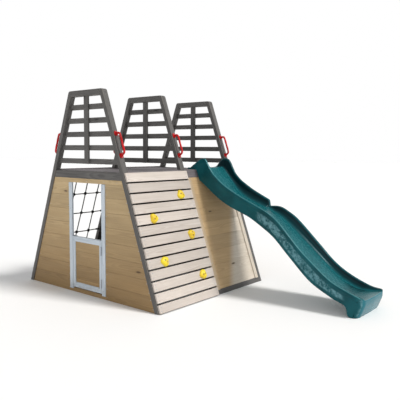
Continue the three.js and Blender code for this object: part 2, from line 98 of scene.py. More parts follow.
class Piece:
    """Gathers solids into one mesh, with the attributes that the materials read."""

    def __init__(self):
        self.points, self.faces, self.smooth, self.finish = [], [], [], []
        self.grain, self.edge, self.tone = [], [], []

    def add(self, points, faces, smooth=True, grain=None, edge=None, tone=0.5, finish=0):
        start = len(self.points)
        self.points += [tuple(p) for p in points]
        self.faces += [[start + i for i in f] for f in faces]
        self.smooth += smooth if isinstance(smooth, list) else [smooth] * len(faces)
        self.finish += finish if isinstance(finish, list) else [finish] * len(faces)
        self.grain += grain if grain is not None else [tuple(Vector(p) / 1000) for p in points]
        self.edge += edge if edge is not None else [0.0] * len(points)
        self.tone += tone if isinstance(tone, list) else [tone] * len(points)

    def prism(self, outline, run, along=None, through=None, bevel=2.5, segments=3, inside=None, tone=None):
        """An outline run along a vector, with rounded edges and its own cut of the log.
        A face that looks along inside, a direction or a list of them, takes the piece's second material, the
        dark wood of painted shade."""
        bm = bmesh.new()
        run = Vector(run)
        low = [bm.verts.new(p) for p in outline]
        high = [bm.verts.new(Vector(p) + run) for p in outline]
        bm.faces.new(low[::-1])
        bm.faces.new(high)
        n = len(low)
        for i in range(n):
            bm.faces.new((low[i], low[(i + 1) % n], high[(i + 1) % n], high[i]))
        bmesh.ops.recalc_face_normals(bm, faces=bm.faces)
        sharp = [e for e in bm.edges if e.calc_face_angle(0) > 0.5]
        made = bmesh.ops.bevel(
            bm, geom=sharp, offset=bevel, segments=segments, profile=0.5, affect="EDGES", clamp_overlap=True
        )
        rounded = set(made["faces"])
        along = (along or run).normalized()
        through = (through or Y).normalized()
        across = along.cross(through).normalized()
        pith = rng.uniform(-3, 3), rng.uniform(-0.05, 0.05), rng.choice((-1, 1)) * rng.uniform(0.02, 0.09)
        start = Vector(pith)
        centre = sum((v.co for v in bm.verts), Vector()) / len(bm.verts)
        tilt = rng.uniform(-0.03, 0.03)
        points, grain, edge = [], [], []
        bm.verts.index_update()
        for v in bm.verts:
            d = (v.co - centre) / 1000
            points.append(v.co.copy())
            a = d.dot(along)
            grain.append((start.x + a, start.y + d.dot(across) + a * tilt, start.z + d.dot(through)))
            edge.append(1.0 if all(f in rounded for f in v.link_faces) else 0.0)
        faces = [[v.index for v in f.verts] for f in bm.faces]
        smooth = [f in rounded for f in bm.faces]
        dark_sides = inside if isinstance(inside, list) else [inside] if inside else []
        finish = [int(any(f.normal.dot(d) > 0.9 for d in dark_sides)) for f in bm.faces]
        bm.free()
        self.add(points, faces, smooth, grain, edge, rng.random() if tone is None else tone, finish)

    def block(self, x, y, z, along, through, **more):
        outline = [(x[0], y[0], z[0]), (x[1], y[0], z[0]), (x[1], y[0], z[1]), (x[0], y[0], z[1])]
        self.prism(outline, (0, y[1] - y[0], 0), along=along, through=through, **more)

    def loft(self, rings, closed=False, caps=True, **more):
        """Rings of equally many points, joined into a skin. caps fills both end rings with a fan."""
        n, count = len(rings[0]), len(rings)
        points = [p for ring in rings for p in ring]
        faces = []
        for i in range(count if closed else count - 1):
            a, b = i * n, ((i + 1) % count) * n
            faces += [[a + j, a + (j + 1) % n, b + (j + 1) % n, b + j] for j in range(n)]
        if caps and not closed:
            for base, flip in ((0, True), ((count - 1) * n, False)):
                centre = sum((Vector(rings[base // n][j]) for j in range(n)), Vector()) / n
                points.append(centre)
                hub = len(points) - 1
                for j in range(n):
                    pair = [base + j, base + (j + 1) % n, hub]
                    faces.append(pair[::-1] if flip else pair)
        self.add(points, faces, True, **more)

    def lathe(self, profile, base, axis, sides=24, **more):
        """A profile of (radius, height) turned about an axis from base, closed at both ends."""
        axis = Vector(axis).normalized()
        u = axis.orthogonal().normalized()
        v = axis.cross(u)
        rings = []
        for r, h in profile:
            spokes = [u * a + v * b for a, b in circle(1, sides)]
            rings.append([Vector(base) + axis * h + spoke * max(r, 0.01) for spoke in spokes])
        self.loft(rings, **more)

    def sweep(self, path, section, closed=False, **more):
        """section(i, s) gives the section's points (u, v) at step i, after a run of s along the path."""
        path = [Vector(p) for p in path]
        count = len(path)
        tangents = []
        for i in range(count):
            a = path[(i - 1) % count] if closed or i else path[0]
            b = path[(i + 1) % count] if closed or i < count - 1 else path[-1]
            tangents.append((b - a).normalized())
        u = tangents[0].orthogonal().normalized()
        rings, s = [], 0.0
        for i, (p, t) in enumerate(zip(path, tangents)):
            u = (u - t * u.dot(t)).normalized()
            v = t.cross(u)
            if i:
                s += (p - path[i - 1]).length
            rings.append([p + u * a + v * b for a, b in section(i, s)])
        self.loft(rings, closed=closed, caps=not closed, **more)

    def make(self, name, finish, body="structure", ending=""):
        """Puts the mesh into the scene. With an ending, name is the CAD node that it stands for."""
        materials, slot = finish
        replaces = [name] if ending else []
        name = f"{name}_{ending}" if ending else name
        mesh = bpy.data.meshes.new(name)
        mesh.from_pydata([tuple(row(p)) for p in self.points], [], self.faces)
        mesh.polygons.foreach_set("use_smooth", self.smooth)
        mesh.polygons.foreach_set("material_index", self.finish)
        layer = mesh.attributes.new("grain", "FLOAT_VECTOR", "POINT")
        layer.data.foreach_set("vector", np.array(self.grain, np.float32).ravel())
        for key, values in (("edge", self.edge), ("tone", self.tone)):
            layer = mesh.attributes.new(key, "FLOAT", "POINT")
            layer.data.foreach_set("value", np.array(values, np.float32))
        for material in materials:
            mesh.materials.append(material)
        mesh.update()
        obj = bpy.data.objects.new(name, mesh)
        bpy.context.scene.collection.objects.link(obj)
        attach(obj, body)
        if replaces:
            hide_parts(*replaces)
        return obj


def turns(sides):
    """Angles evenly round a circle."""
    return [2 * math.pi * k / sides for k in range(sides)]


def circle(radius, sides):
    return [(radius * math.cos(t), radius * math.sin(t)) for t in turns(sides)]


def catmull(points, steps):
    """A smooth line through the points, as a list."""
    p = [Vector(q) for q in points]
    p = [p[0] * 2 - p[1], *p, p[-1] * 2 - p[-2]]
    made = []
    for i in range(1, len(p) - 2):
        for k in range(steps):
            t = k / steps
            a, b, c, d = p[i - 1 : i + 3]
            square, cube = (2 * a - 5 * b + 4 * c - d) * t * t, (3 * b - a - 3 * c + d) * t**3
            made.append(0.5 * (2 * b + (c - a) * t + square + cube))
    return made + [p[-2]]


# ---- materials ----
def colour(text):
    """A colour written as #rrggbb, in linear light."""
    parts = [int(text[i : i + 2], 16) / 255 for i in (1, 3, 5)]
    return (*[c / 12.92 if c <= 0.04045 else ((c + 0.055) / 1.055) ** 2.4 for c in parts], 1.0)


class Nodes:
    """Builds a node tree from expressions. A colour may be written as #rrggbb."""

    def __init__(self, tree):
        self.tree = tree

    def put(self, socket, value):
        value = colour(value) if isinstance(value, str) else value
        if isinstance(value, bpy.types.NodeSocket):
            self.tree.links.new(value, socket)
        else:
            socket.default_value = value

    def node(self, kind, inputs=(), output=0, **settings):
        made = self.tree.nodes.new("ShaderNode" + kind)
        for key, value in settings.items():
            setattr(made, key, value)
        for key, value in dict(inputs).items():
            self.put(made.inputs[key], value)
        return made.outputs[output]

    def math(self, operation, a, b=0.0):
        return self.node("Math", {0: a, 1: b}, operation=operation)

    def times(self, a, b):
        return self.math("MULTIPLY", a, b)

    def plus(self, a, b):
        return self.math("ADD", a, b)

    def minus(self, a, b):
        return self.math("SUBTRACT", a, b)

    def scale(self, vector, by):
        return self.node("VectorMath", {0: vector, 1: by}, operation="MULTIPLY")

    def add(self, a, b):
        return self.node("VectorMath", {0: a, 1: b}, operation="ADD")

    def mix(self, factor, a, b, blend="MIX"):
        return self.node(
            "Mix", {0: factor, 6: a, 7: b}, output=2, data_type="RGBA", blend_type=blend, clamp_factor=True
        )

    def ramp(self, value, low, high, to_low=0.0, to_high=1.0):
        """A smooth step from low to high."""
        return self.node(
            "MapRange", {0: value, 1: low, 2: high, 3: to_low, 4: to_high}, interpolation_type="SMOOTHSTEP"
        )

    def noise(self, vector, scale=1.0, detail=3.0, rough=0.55, output=0):
        inputs = {"Vector": vector, "Scale": scale, "Detail": detail, "Roughness": rough}
        return self.node("TexNoise", inputs, output=output)

    def drawn(self, vector, stretch, detail=4.0, rough=0.55, output=0):
        """Noise drawn out by a stretch, such as along the grain."""
        return self.noise(self.scale(vector, stretch), 1.0, detail, rough, output)

    def cells(self, vector, scale=1.0, output="Distance"):
        return self.node("TexVoronoi", {"Vector": vector, "Scale": scale}, output=output)

    def place(self):
        return self.node("TexCoord", output="Object")

    def attribute(self, name):
        return self.node("Attribute", output="Vector" if name == "grain" else "Fac", attribute_name=name)

    def split(self, vector, axis):
        return self.node("SeparateXYZ", {0: vector}, output=axis)


class Shader(Nodes):
    def __init__(self, name, **sockets):
        self.material = bpy.data.materials.new(name)
        self.material.use_nodes = True
        super().__init__(self.material.node_tree)
        self.surface = self.tree.nodes["Principled BSDF"]
        for key, value in sockets.items():
            self.surface.inputs[key.replace("_", " ")].default_value = value

    def finish(self, base, rough, height=None, distance=0.001, strength=1.0):
        self.put(self.surface.inputs["Base Color"], base)
        self.put(self.surface.inputs["Roughness"], rough)
        if height is not None:
            bump = self.node("Bump", {"Height": height, "Distance": distance, "Strength": strength})
            self.put(self.surface.inputs["Normal"], bump)
        return self.material


RINGS_PER_METRE, KNOT_FREE = 210.0, 0.8


def wood(name, light, dark, knot, worn, contrast=0.5, wear=0.2, rough=(0.5, 0.75), low=None, slide_shadow_tint=None):
    """Sawn softwood: growth rings, fibres, knots with bent grain, boards of different tone, worn edges; low
    paints shade darker towards the ground, and the slide shadow tint paints the slide's shadow.
    """
    s = Shader(name)
    g = s.attribute("grain")
    edge, tone = s.attribute("edge"), s.attribute("tone")
    # knots sit in long cells along the board and push the rings aside
    cell = s.scale(g, (2.6, 9.0, 9.0))
    near = s.cells(cell)
    chosen = s.math("GREATER_THAN", s.split(s.cells(cell, output="Color"), 0), KNOT_FREE)
    ripple = s.plus(near, s.times(s.drawn(g, (40, 90, 90), 2.0), 0.05))
    heart = s.times(s.ramp(ripple, 0.115, 0.075), chosen)
    swirl = s.times(s.ramp(near, 0.42, 0.05), chosen)
    # growth rings round the pith, which wanders along the log
    wander = s.add(s.drawn(g, (1.1, 5, 5), 2.0, output=1), (-0.5, -0.5, -0.5))
    wander = s.scale(wander, (0, 0.05, 0.05))
    log = s.add(s.scale(g, (0.0, 1.0, 1.0)), wander)
    radius = s.node("VectorMath", {0: log}, operation="LENGTH", output="Value")
    radius = s.plus(radius, s.times(swirl, 0.012))
    phase = s.math("FRACT", s.times(radius, RINGS_PER_METRE))
    ring = s.times(s.ramp(phase, 0.15, 0.86), s.ramp(phase, 1.0, 0.9))
    ring = s.times(ring, s.ramp(s.drawn(g, (2, 22, 22), 2.0), 0.25, 0.7, 0.45, 1.0))
    fibre = s.drawn(g, (14, 620, 620), 3.0, 0.6)
    streak = s.drawn(g, (2.4, 70, 70), 4.0, 0.6)
    blotch = s.drawn(g, (3.0, 9.0, 9.0), 3.0)
    # colour
    base = s.mix(s.ramp(streak, 0.3, 0.72), light, s.mix(0.45 * contrast, light, dark))
    base = s.mix(s.times(ring, 0.75 * contrast), base, dark)
    base = s.mix(s.times(s.ramp(fibre, 0.56, 0.78), 0.55 * contrast), base, dark)
    base = s.mix(s.times(swirl, 0.5 * contrast), base, dark)
    shade = s.plus(s.times(tone, 0.26), s.times(blotch, 0.3))
    shade = s.plus(shade, 0.72)
    base = s.node("HueSaturation", {"Value": shade, "Color": base, "Hue": 0.5, "Saturation": 1.0, "Fac": 1.0})
    along_y, height = s.split(s.place(), 1), s.split(s.place(), 2)
    # painted shade: the low tint multiplies the wood darker from 1.15 m down to the ground
    if low is not None:
        base = s.mix(s.ramp(height, 1.15, 0.0), base, s.mix(1.0, base, low, "MULTIPLY"))
    if slide_shadow_tint is not None:
        # painted shadow of the slide: the wood is multiplied browner up to a slanting line
        across = s.minus(along_y, s.times(height, 0.475))
        painted_slide_shadow = s.times(s.ramp(across, 0.33, 0.19), s.ramp(along_y, 0.02, 0.12, 0.5, 1.0))
        base = s.mix(painted_slide_shadow, base, s.mix(1.0, base, slide_shadow_tint, "MULTIPLY"))
    base = s.mix(heart, base, knot)
    ringed = s.times(s.times(s.ramp(ripple, 0.075, 0.1), s.ramp(ripple, 0.135, 0.11)), chosen)
    base = s.mix(s.times(ringed, 0.6), base, s.mix(0.5, knot, dark))
    rub = s.times(edge, s.ramp(s.drawn(g, (9, 60, 60)), 0.42, 0.62))
    base = s.mix(s.times(rub, wear), base, worn)
    roughness = s.plus(rough[0], s.times(streak, rough[1] - rough[0]))
    relief = s.plus(s.times(ring, 0.45), s.times(fibre, 0.9))
    relief = s.minus(relief, s.times(heart, 0.5))
    return s.finish(base, roughness, relief, 0.0006, 0.7)


stain = wood("dark stained timber", "#656361", "#373533", "#221f1d", "#8c8275", 0.7, 0.4)
beam_stain = wood("beam stained timber", "#6d6769", "#413c3f", "#2c2829", "#8f8784", 0.7, 0.4)
# the gable cladding's low tint is painted shade towards the ground
clad_wood = wood(
    "oiled cladding pine", "#c4ab81", "#8e744d", "#553d23", "#cfb98f", 0.5, 0.25, (0.42, 0.68), low="#cdbfa8"
)
pale_wood = wood("pale washed pine", "#c9c0b8", "#a39384", "#77604e", "#d8cfc4", 0.5, 0.25)
panel_wood = wood("pale cladding pine", "#cdc1ae", "#9c886a", "#5f4a32", "#d4c9b4")
# the right side cladding, with the slide's shadow painted on it
slide_shadowed_wood = wood(
    "pale cladding under the slide", "#d6ccbe", "#a59278", "#5f4a32", "#d9cfbd", slide_shadow_tint="#e6cda4"
)
# painted shade: a dark wood for faces that look into the frame and for board edges, where shade falls
inner_shade_wood = wood("shaded inner faces", "#3b332b", "#231d18", "#15110e", "#453b31", 0.6, 0.2, (0.6, 0.85))


def painted_timber():
    """Bluish white paint over timber: brush marks, a little grain, chipped edges and dirt near the ground."""
    s = Shader("white painted timber")
    g = s.attribute("grain")
    brush = s.drawn(g, (5, 380, 380), 3.0, 0.6)
    grain = s.drawn(g, (3, 60, 60), 4.0, 0.6)
    base = s.mix(s.ramp(grain, 0.3, 0.75), "#cdd6de", "#b6c1cb")
    height = s.split(s.place(), 2)
    dirt = s.times(s.ramp(height, 0.16, 0.02), s.ramp(s.noise(g, 28.0, 4.0), 0.35, 0.7))
    base = s.mix(s.times(dirt, 0.45), base, "#8d8478")
    chip = s.times(s.attribute("edge"), s.ramp(s.drawn(g, (26, 90, 90)), 0.63, 0.67))
    base = s.mix(chip, base, "#a98f6c")
    relief = s.plus(s.times(brush, 0.6), s.times(grain, 0.7))
    relief = s.minus(relief, chip)
    return s.finish(base, s.plus(0.34, s.times(grain, 0.2)), relief, 0.0006, 0.6)


def plastic(name, light, dark, rough, peel=420.0, depth=0.0003, speckle=0.0, gloss=0.5, scratch=0.0):
    """Moulded plastic: slight mottle, fine texture, and scuffs where it is rubbed."""
    s = Shader(name, Specular_IOR_Level=gloss)
    g = s.place()
    mottle = s.noise(g, 9.0, 4.0)
    base = s.mix(s.ramp(mottle, 0.3, 0.7), light, dark)
    grainy = s.noise(g, peel, 3.0, 0.6)
    if speckle:
        base = s.mix(s.times(s.ramp(s.noise(g, 900.0, 2.0), 0.6, 0.72), speckle), base, dark)
    scuff = s.times(s.attribute("edge"), s.ramp(s.noise(g, 60.0, 4.0), 0.45, 0.65))
    base = s.mix(s.times(scuff, scratch), base, s.mix(0.45, light, "#ffffff"))
    roughness = s.plus(rough, s.times(s.noise(g, 22.0, 4.0), 0.14))
    return s.finish(base, roughness, grainy, depth, 0.6)


def slide_plastic():
    """Blow-moulded teal plastic: glossy, slight orange peel, wear streaks down the bed, a painted highlight
    on the near rim, painted light on the nose, painted shade on the far inner wall and lower bed, chalky
    bubbles on the outer wall."""
    s = Shader("teal slide plastic", Specular_IOR_Level=0.24, Specular_Tint=(0.6, 0.87, 0.95, 1.0))
    g = s.attribute("grain")
    object_place = s.place()
    mark, zone = s.attribute("edge"), s.attribute("tone")
    # zone: 0 to 1 chalky outer wall, 1.1 to 2 painted light on the nose, below 0 painted shade
    wall, nose, deep = s.ramp(zone, 0.0, 1.0), s.ramp(zone, 1.1, 2.0), s.ramp(zone, 0.0, -1.0)
    rim = s.ramp(mark, 1.3, 1.9)
    bed = s.times(s.math("MINIMUM", mark, 1.0), s.minus(1.0, rim))
    mottle = s.noise(object_place, 5.0, 4.0)
    base = s.mix(s.ramp(mottle, 0.32, 0.7), "#11545b", "#0b4147")
    base = s.mix(s.times(bed, 0.55), base, "#196a70")
    # painted shade: a negative zone darkens the far inner wall and the lower bed
    base = s.mix(deep, base, "#03252a")
    # painted light: the nose's front face is lightened as if lit and reflecting
    base = s.mix(s.times(nose, 0.6), base, "#2f7a88")
    streak = s.drawn(g, (1.6, 60, 60), 4.0, 0.6)
    hair = s.drawn(g, (4, 700, 700), 2.0, 0.6)
    rubbed = s.times(bed, s.ramp(streak, 0.42, 0.66))
    base = s.mix(s.times(rubbed, 0.25), base, "#237a80")
    scratch = s.times(bed, s.ramp(hair, 0.62, 0.7))
    base = s.mix(s.times(scratch, 0.1), base, "#6fa5a8")
    # painted highlight along the near rim's crest and the nose lip
    base = s.mix(s.times(rim, 0.6), base, "#5f9fa3")
    wall = s.minus(wall, nose)
    cloudy = s.times(wall, s.ramp(s.noise(object_place, 30.0, 5.0, 0.7), 0.32, 0.68))
    base = s.mix(s.times(cloudy, 0.75), base, "#7aacb6")
    peel = s.noise(object_place, 150.0, 2.0, 0.5)
    relief = s.minus(s.times(peel, 0.35), s.times(scratch, 0.25))
    rough = s.plus(0.17, s.times(mottle, 0.1))
    rough = s.plus(rough, s.times(rubbed, 0.12))
    rough = s.plus(rough, s.times(cloudy, 0.2))
    return s.finish(base, rough, relief, 0.0006, 0.4)


def rope_fibre():
    """Twisted black cord: yarns run along the strands, with a dusty bloom on their crowns."""
    s = Shader("black rope", Sheen_Weight=0.35, Sheen_Roughness=0.45)
    g = s.attribute("grain")
    wave = {"Vector": s.scale(g, (1.0, 1.0, 0.0)), "Scale": 90.0, "Distortion": 1.2, "Detail": 2.0}
    yarn = s.node("TexWave", wave)
    fuzz = s.noise(s.place(), 1400.0, 3.0, 0.7)
    crown = s.attribute("edge")
    base = s.mix(s.times(yarn, 0.7), "#0c0c10", "#26262c")
    base = s.mix(s.times(crown, s.ramp(fuzz, 0.4, 0.7, 0.0, 0.4)), base, "#5a5a62")
    relief = s.plus(s.times(yarn, 0.6), s.times(fuzz, 0.5))
    return s.finish(base, 0.85, relief, 0.0008, 0.8)


def zinc_plate(name, light, dark):
    """Plated steel with spangle, stains and fine turning marks."""
    s = Shader(name, Metallic=0.9)
    g = s.place()
    spangle = s.split(s.cells(g, 260.0, output="Color"), 0)
    stained = s.noise(g, 45.0, 5.0, 0.65)
    base = s.mix(s.times(spangle, 0.5), light, dark)
    base = s.mix(s.ramp(stained, 0.6, 0.78, 0.0, 0.5), base, "#5a534c")
    rough = s.plus(0.24, s.times(stained, 0.3))
    return s.finish(base, rough, s.noise(g, 700.0, 2.0), 0.0002, 0.5)


white_paint = painted_timber()
yellow_plastic = plastic("yellow moulded resin", "#f0da26", "#dcb818", 0.42, 520.0, 0.0006, 0.25, 0.5, 0.3)
red_plastic = plastic("red moulded plastic", "#cb080c", "#a00609", 0.32, 300.0, 0.0002, 0.0, 0.22, 0.1)
green_plastic = slide_plastic()
black_rope = rope_fibre()
zinc = zinc_plate("zinc plated steel", "#b9bec6", "#8b9199")
dark_steel = zinc_plate("blackened steel", "#4a4a4c", "#2f2f31")
black_fitting = plastic("black fitting", "#1a1a1d", "#101013", 0.4, 400.0, 0.0003)

# what make() takes: the materials, and the name of the CAD material slot that they stand for
DARK, BEAM, CLAD = ([stain], "dark_stain"), ([beam_stain], "beam_stain"), ([clad_wood], "clad_wood")
# CLAD_INNER_SHADE paints shade on the boards' inner faces
CLAD_INNER_SHADE = ([clad_wood, inner_shade_wood], "clad_wood")
WHITE, ZINC = ([white_paint], "white_paint"), ([zinc], "zinc")


# ---- fasteners ----
def drive_head(piece, place, normal, radius=4.2, rise=0.9, recess="cross", sides=24):
    """A screw or bolt head on a face: a low dome with a cross or hexagon recess."""
    normal = Vector(normal).normalized()
    u = normal.orthogonal().normalized()
    u = Matrix.Rotation(rng.uniform(0, math.pi), 3, normal) @ u
    v = normal.cross(u)
    shares = (0.0, 0.12, 0.2, 0.3, 0.4, 0.5, 0.58, 0.66, 0.8, 0.92, 1.0, 1.0)
    rings = []
    for k, share in enumerate(shares):
        ring = []
        for a, b in circle(share * radius, sides):
            h = rise * (1 - 0.55 * share * share)
            if recess == "cross":
                inside = share < 0.62 and min(abs(a), abs(b)) < 0.13 * radius
                h -= 0.5 * radius * (0.62 - share) / 0.62 if inside else 0
            else:
                reach = max(abs(a * math.cos(q) + b * math.sin(q)) for q in (0, math.pi / 3, 2 * math.pi / 3))
                h -= 0.55 * radius if reach < 0.48 * radius else 0
            if k == len(shares) - 1:
                h = -0.3
            ring.append(Vector(place) + u * a + v * b + normal * h)
        rings.append(ring)
    piece.loft(rings, caps=False, tone=rng.random())


screws, dark_screws, door_screws = Piece(), Piece(), Piece()


# ---- ladder frames ----
RAIL_HEIGHT, RUNG_HEIGHT, RUNG_FRONT, RUNG_THICK, SLAT_HALF = 56, 50, 29, 28, 31
RUNG_TOPS = [1830 - 128 * i for i in range(5)]
BEAM_FOOT, BEAM_INSET, DECK_UNDER, DECK_TOP = 1128, 6, 1180, 1200


def xz(points, y):
    return [(x, y, z) for x, z in points]


def level_board(piece, outline, y, depth, **more):
    """An outline of (x, z) points run back from y, with its grain across the frame."""
    piece.prism(xz(outline, y), (0, depth, 0), along=X, through=Y, **more)


def slope_board(piece, side, z, n, y, along=Y, **more):
    """A board in the slope between two heights z, two outward offsets n and two places y."""
    level = [v / math.cos(LEAN) for v in n]
    corners = [(z[0], level[0]), (z[0], level[1]), (z[1], level[1]), (z[1], level[0])]
    outline = [(side * (half(h) + m), y[0], h) for h, m in corners]
    piece.prism(outline, (0, y[1] - y[0], 0), along=along, through=slope_axes(side)[0], **more)


def band(z0, z1):
    return [(-inner(z0), z0), (inner(z0), z0), (inner(z1), z1), (-inner(z1), z1)]


def leg_outline(side):
    """A leg seen from the front, with its outer top corner rounded."""
    r, top = 22, TOP_WIDTH / 2
    a, b, c = (half(HEIGHT - r), HEIGHT - r), (top, HEIGHT), (top - r, HEIGHT)
    bend = []
    for k in range(7):
        t = k / 6
        bend.append(tuple((1 - t) ** 2 * a[i] + 2 * t * (1 - t) * b[i] + t * t * c[i] for i in (0, 1)))
    points = [(BASE_HALF, 0), *bend, (top - LEG_WIDTH, HEIGHT), (BASE_HALF - LEG_WIDTH, 0)]
    return [(side * x, z) for x, z in points]


for i, name in enumerate(FRAMES):
    y0 = i * PITCH
    for side, hand in SIDES:
        out, up = slope_axes(side)
        leg = Piece()
        leg.prism(xz(leg_outline(side), y0), (0, DEPTH, 0), along=up, through=out, bevel=4.5, segments=4)
        leg.make(f"leg_{name}_{hand}", DARK, ending="wood")
        # wood screws through the leg into the rail, the rungs and the cross beam
        rung_middles = [(top - RUNG_HEIGHT / 2, 43) for top in RUNG_TOPS]
        for z, dy in [(HEIGHT - 34, 30), *rung_middles, (1150, 22), (1178, 40)]:
            drive_head(dark_screws, Vector((side * half(z), y0 + dy, z)), out, 4.4)
    ladder = Piece()
    level_board(ladder, band(HEIGHT - RAIL_HEIGHT, HEIGHT), y0, DEPTH, bevel=4)
    for top in RUNG_TOPS:
        level_board(ladder, band(top - RUNG_HEIGHT, top), y0 + RUNG_FRONT, RUNG_THICK, bevel=3.5)
        for dx in (-14, 14):
            drive_head(dark_screws, (dx, y0 + 10, top - RUNG_HEIGHT / 2 + dx * 0.5), -Y, 3.6)
    slat = (RUNG_TOPS[-1] - RUNG_HEIGHT, HEIGHT - RAIL_HEIGHT)
    ladder.block((-SLAT_HALF, SLAT_HALF), (y0 + 10, y0 + RUNG_FRONT + GAP), slat, Z, Y, bevel=3)
    ladder.make(f"rung_ladder_{name}", DARK, ending="wood")
    beam = Piece()
    # the middle beam runs under the deck boards, the others reach almost to their top
    beam_top = DECK_UNDER - GAP if name == "middle" else DECK_TOP - 2
    level_board(beam, band(BEAM_FOOT, beam_top), y0 + BEAM_INSET, DEPTH - 2 * BEAM_INSET, bevel=4)
    finish = stain if name == "front" else beam_stain
    beam.make(f"cross_beam_{name}", ([finish], "dark_stain"), ending="wood")

# ---- side beams and base rails ----
SIDE_BEAM, BASE_RAIL = (1130, 1209), (0, 48)


def between_frames(bay):
    return BAYS[bay][0] + GAP, BAYS[bay][1] - GAP


for side, hand in SIDES:
    for bay in BAYS:
        beam = Piece()
        slope_board(beam, side, SIDE_BEAM, (-THICK, 0), between_frames(bay), bevel=4)
        beam.make(f"side_beam_{hand}_{bay}", BEAM, ending="wood")
for side, hand, bay in ((1, "right", "rear"), (-1, "left", "front")):
    rail = Piece()
    slope_board(rail, side, BASE_RAIL, (-THICK, 0), between_frames(bay), bevel=3.5)
    rail.make(f"base_rail_{hand}_{bay}", DARK, ending="wood")

# ---- deck ----
BOARD_COUNT, DECK_HALF, DECK_JOINT, BATTEN = 10, 472, 5, 45
deck = Piece()
front, back = DEPTH - 6 + GAP, 2 * PITCH + 6 - GAP
step = (2 * DECK_HALF + DECK_JOINT) / BOARD_COUNT
batten_starts = (front, PITCH / 2, 1.5 * PITCH + DEPTH - BATTEN, back - BATTEN)
for i in range(BOARD_COUNT):
    x0 = i * step - DECK_HALF
    deck.block((x0, x0 + step - DECK_JOINT), (front, back), (DECK_UNDER, DECK_TOP), Y, Z)
    for y in batten_starts:
        for dx in (22, step - DECK_JOINT - 22):
            drive_head(dark_screws, (x0 + dx, y + 22, DECK_TOP), Z, 4.0)
for y in batten_starts:
    deck.block((-462, 462), (y, y + BATTEN), (1154, DECK_UNDER + 0.4), X, Z)
deck.make("deck", BEAM, ending="wood")

# ---- cladding: boards with V joints, and the tongue that shows in each joint ----
SEAMS, TONGUE, JOINT = [1 + 137 * k for k in range(1, 9)], 4, 0.4
HEADER_FOOT, JAMB_INNER, JAMB_OUTER, SILL_TOP, JAMB_TOP = 1085, 217, 267, 30.3, 1084.7


def levels(bottom, top):
    """The bottom and top of each board, cut at the seams."""
    cuts = [bottom] + [z for z in SEAMS if bottom + 20 < z < top - 12] + [top]
    return list(zip(cuts, cuts[1:]))


def gable_boards(piece, edges, top, y, inside):
    """Level boards between two edges, each a function of the height."""
    for z0, z1 in levels(0, top):
        a, b = z0 + (JOINT if z0 else 0), z1 - (JOINT if z1 < top else 0)
        corners = [(edges[0](a), a), (edges[1](a), a), (edges[1](b), b), (edges[0](b), b)]
        level_board(piece, corners, y, CLAD_THICK, bevel=1.6, segments=2, inside=inside)
        if z1 < top:
            left, right = edges[0](z1) * 0.995, edges[1](z1) * 0.995
            low, high = z1 - TONGUE, z1 + TONGUE
            tongue = [(left, low), (right, low), (right, high), (left, high)]
            level_board(piece, tongue, y + 6, 6, bevel=0.8, segments=1)


JAMB_EDGE = JAMB_OUTER + GAP
for side, hand in SIDES:
    panel = Piece()
    gable_boards(panel, (lambda z: side * JAMB_EDGE, lambda z: side * inner(z)), HEADER_FOOT, CLAD_BACK, Y)
    for z0, z1 in levels(0, HEADER_FOOT):
        for z in (z0 + 30, z1 - 30):
            for x in (inner(z) - 16, JAMB_EDGE + 16):
                drive_head(screws, (side * x, CLAD_BACK, z), -Y, 3.4)
    panel.make(f"gable_cladding_{hand}", CLAD_INNER_SHADE, ending="boards")
header = Piece()
level_board(header, band(HEADER_FOOT + GAP, CLAD_TOP), CLAD_BACK, CLAD_THICK, bevel=2, inside=Y)
for x in (-430, -250, 0, 250, 430):
    drive_head(screws, (x, CLAD_BACK, 1106), -Y, 3.4)
header.make("gable_cladding_header", CLAD_INNER_SHADE, ending="board")
rear = Piece()
gable_boards(rear, (lambda z: -inner(z), inner), CLAD_TOP, REAR_FACE - CLAD_BACK - CLAD_THICK, -Y)
for z0, z1 in levels(0, CLAD_TOP):
    for z in {z0 + 22, z1 - 22}:
        for x in (-inner(z) + 16, -inner(z) / 3, inner(z) / 3, inner(z) - 16):
            drive_head(screws, (x, REAR_FACE - CLAD_BACK, z), Y, 3.4)
rear.make("rear_cladding", CLAD_INNER_SHADE, ending="boards")

SIDE_CLAD_TOP, BATTEN_WIDTH, BATTEN_FACE, RAIL_TOP = 1129.7, 49, 12, 48.3
for side, hand, bottom in ((1, "right", RAIL_TOP), (-1, "left", 0)):
    out, up = slope_axes(side)
    y0, y1 = between_frames("rear")
    panel = Piece()
    for z0, z1 in levels(bottom, SIDE_CLAD_TOP):
        seam = z1 < SIDE_CLAD_TOP
        shown = z0 + (JOINT if z0 > bottom else 0), z1 - (JOINT if seam else 0)
        slope_board(panel, side, shown, (-CLAD_THICK, 0.8), (y0, y1), bevel=1.5, segments=2, inside=-out)
        if seam:
            tongue = (z1 - TONGUE, z1 + TONGUE)
            slope_board(panel, side, tongue, (-12, -6), (y0 + 1, y1 - 1), bevel=0.8, segments=1)
    for y in (y0, y1 - BATTEN_WIDTH):
        batten = (y, y + BATTEN_WIDTH)
        slope_board(panel, side, (RAIL_TOP, SIDE_CLAD_TOP), (0.9, BATTEN_FACE), batten, up, bevel=2.6)
        for z in (90, 300, 510, 720, 930, 1095):
            x = side * (half(z) + BATTEN_FACE / math.cos(LEAN))
            drive_head(screws, (x, y + BATTEN_WIDTH / 2, z), out, 3.6)
    # the inner faces take the painted shade
    finishes = [slide_shadowed_wood if side > 0 else panel_wood, inner_shade_wood]
    panel.make(f"side_cladding_{hand}", (finishes, "pale_wood"), ending="boards")

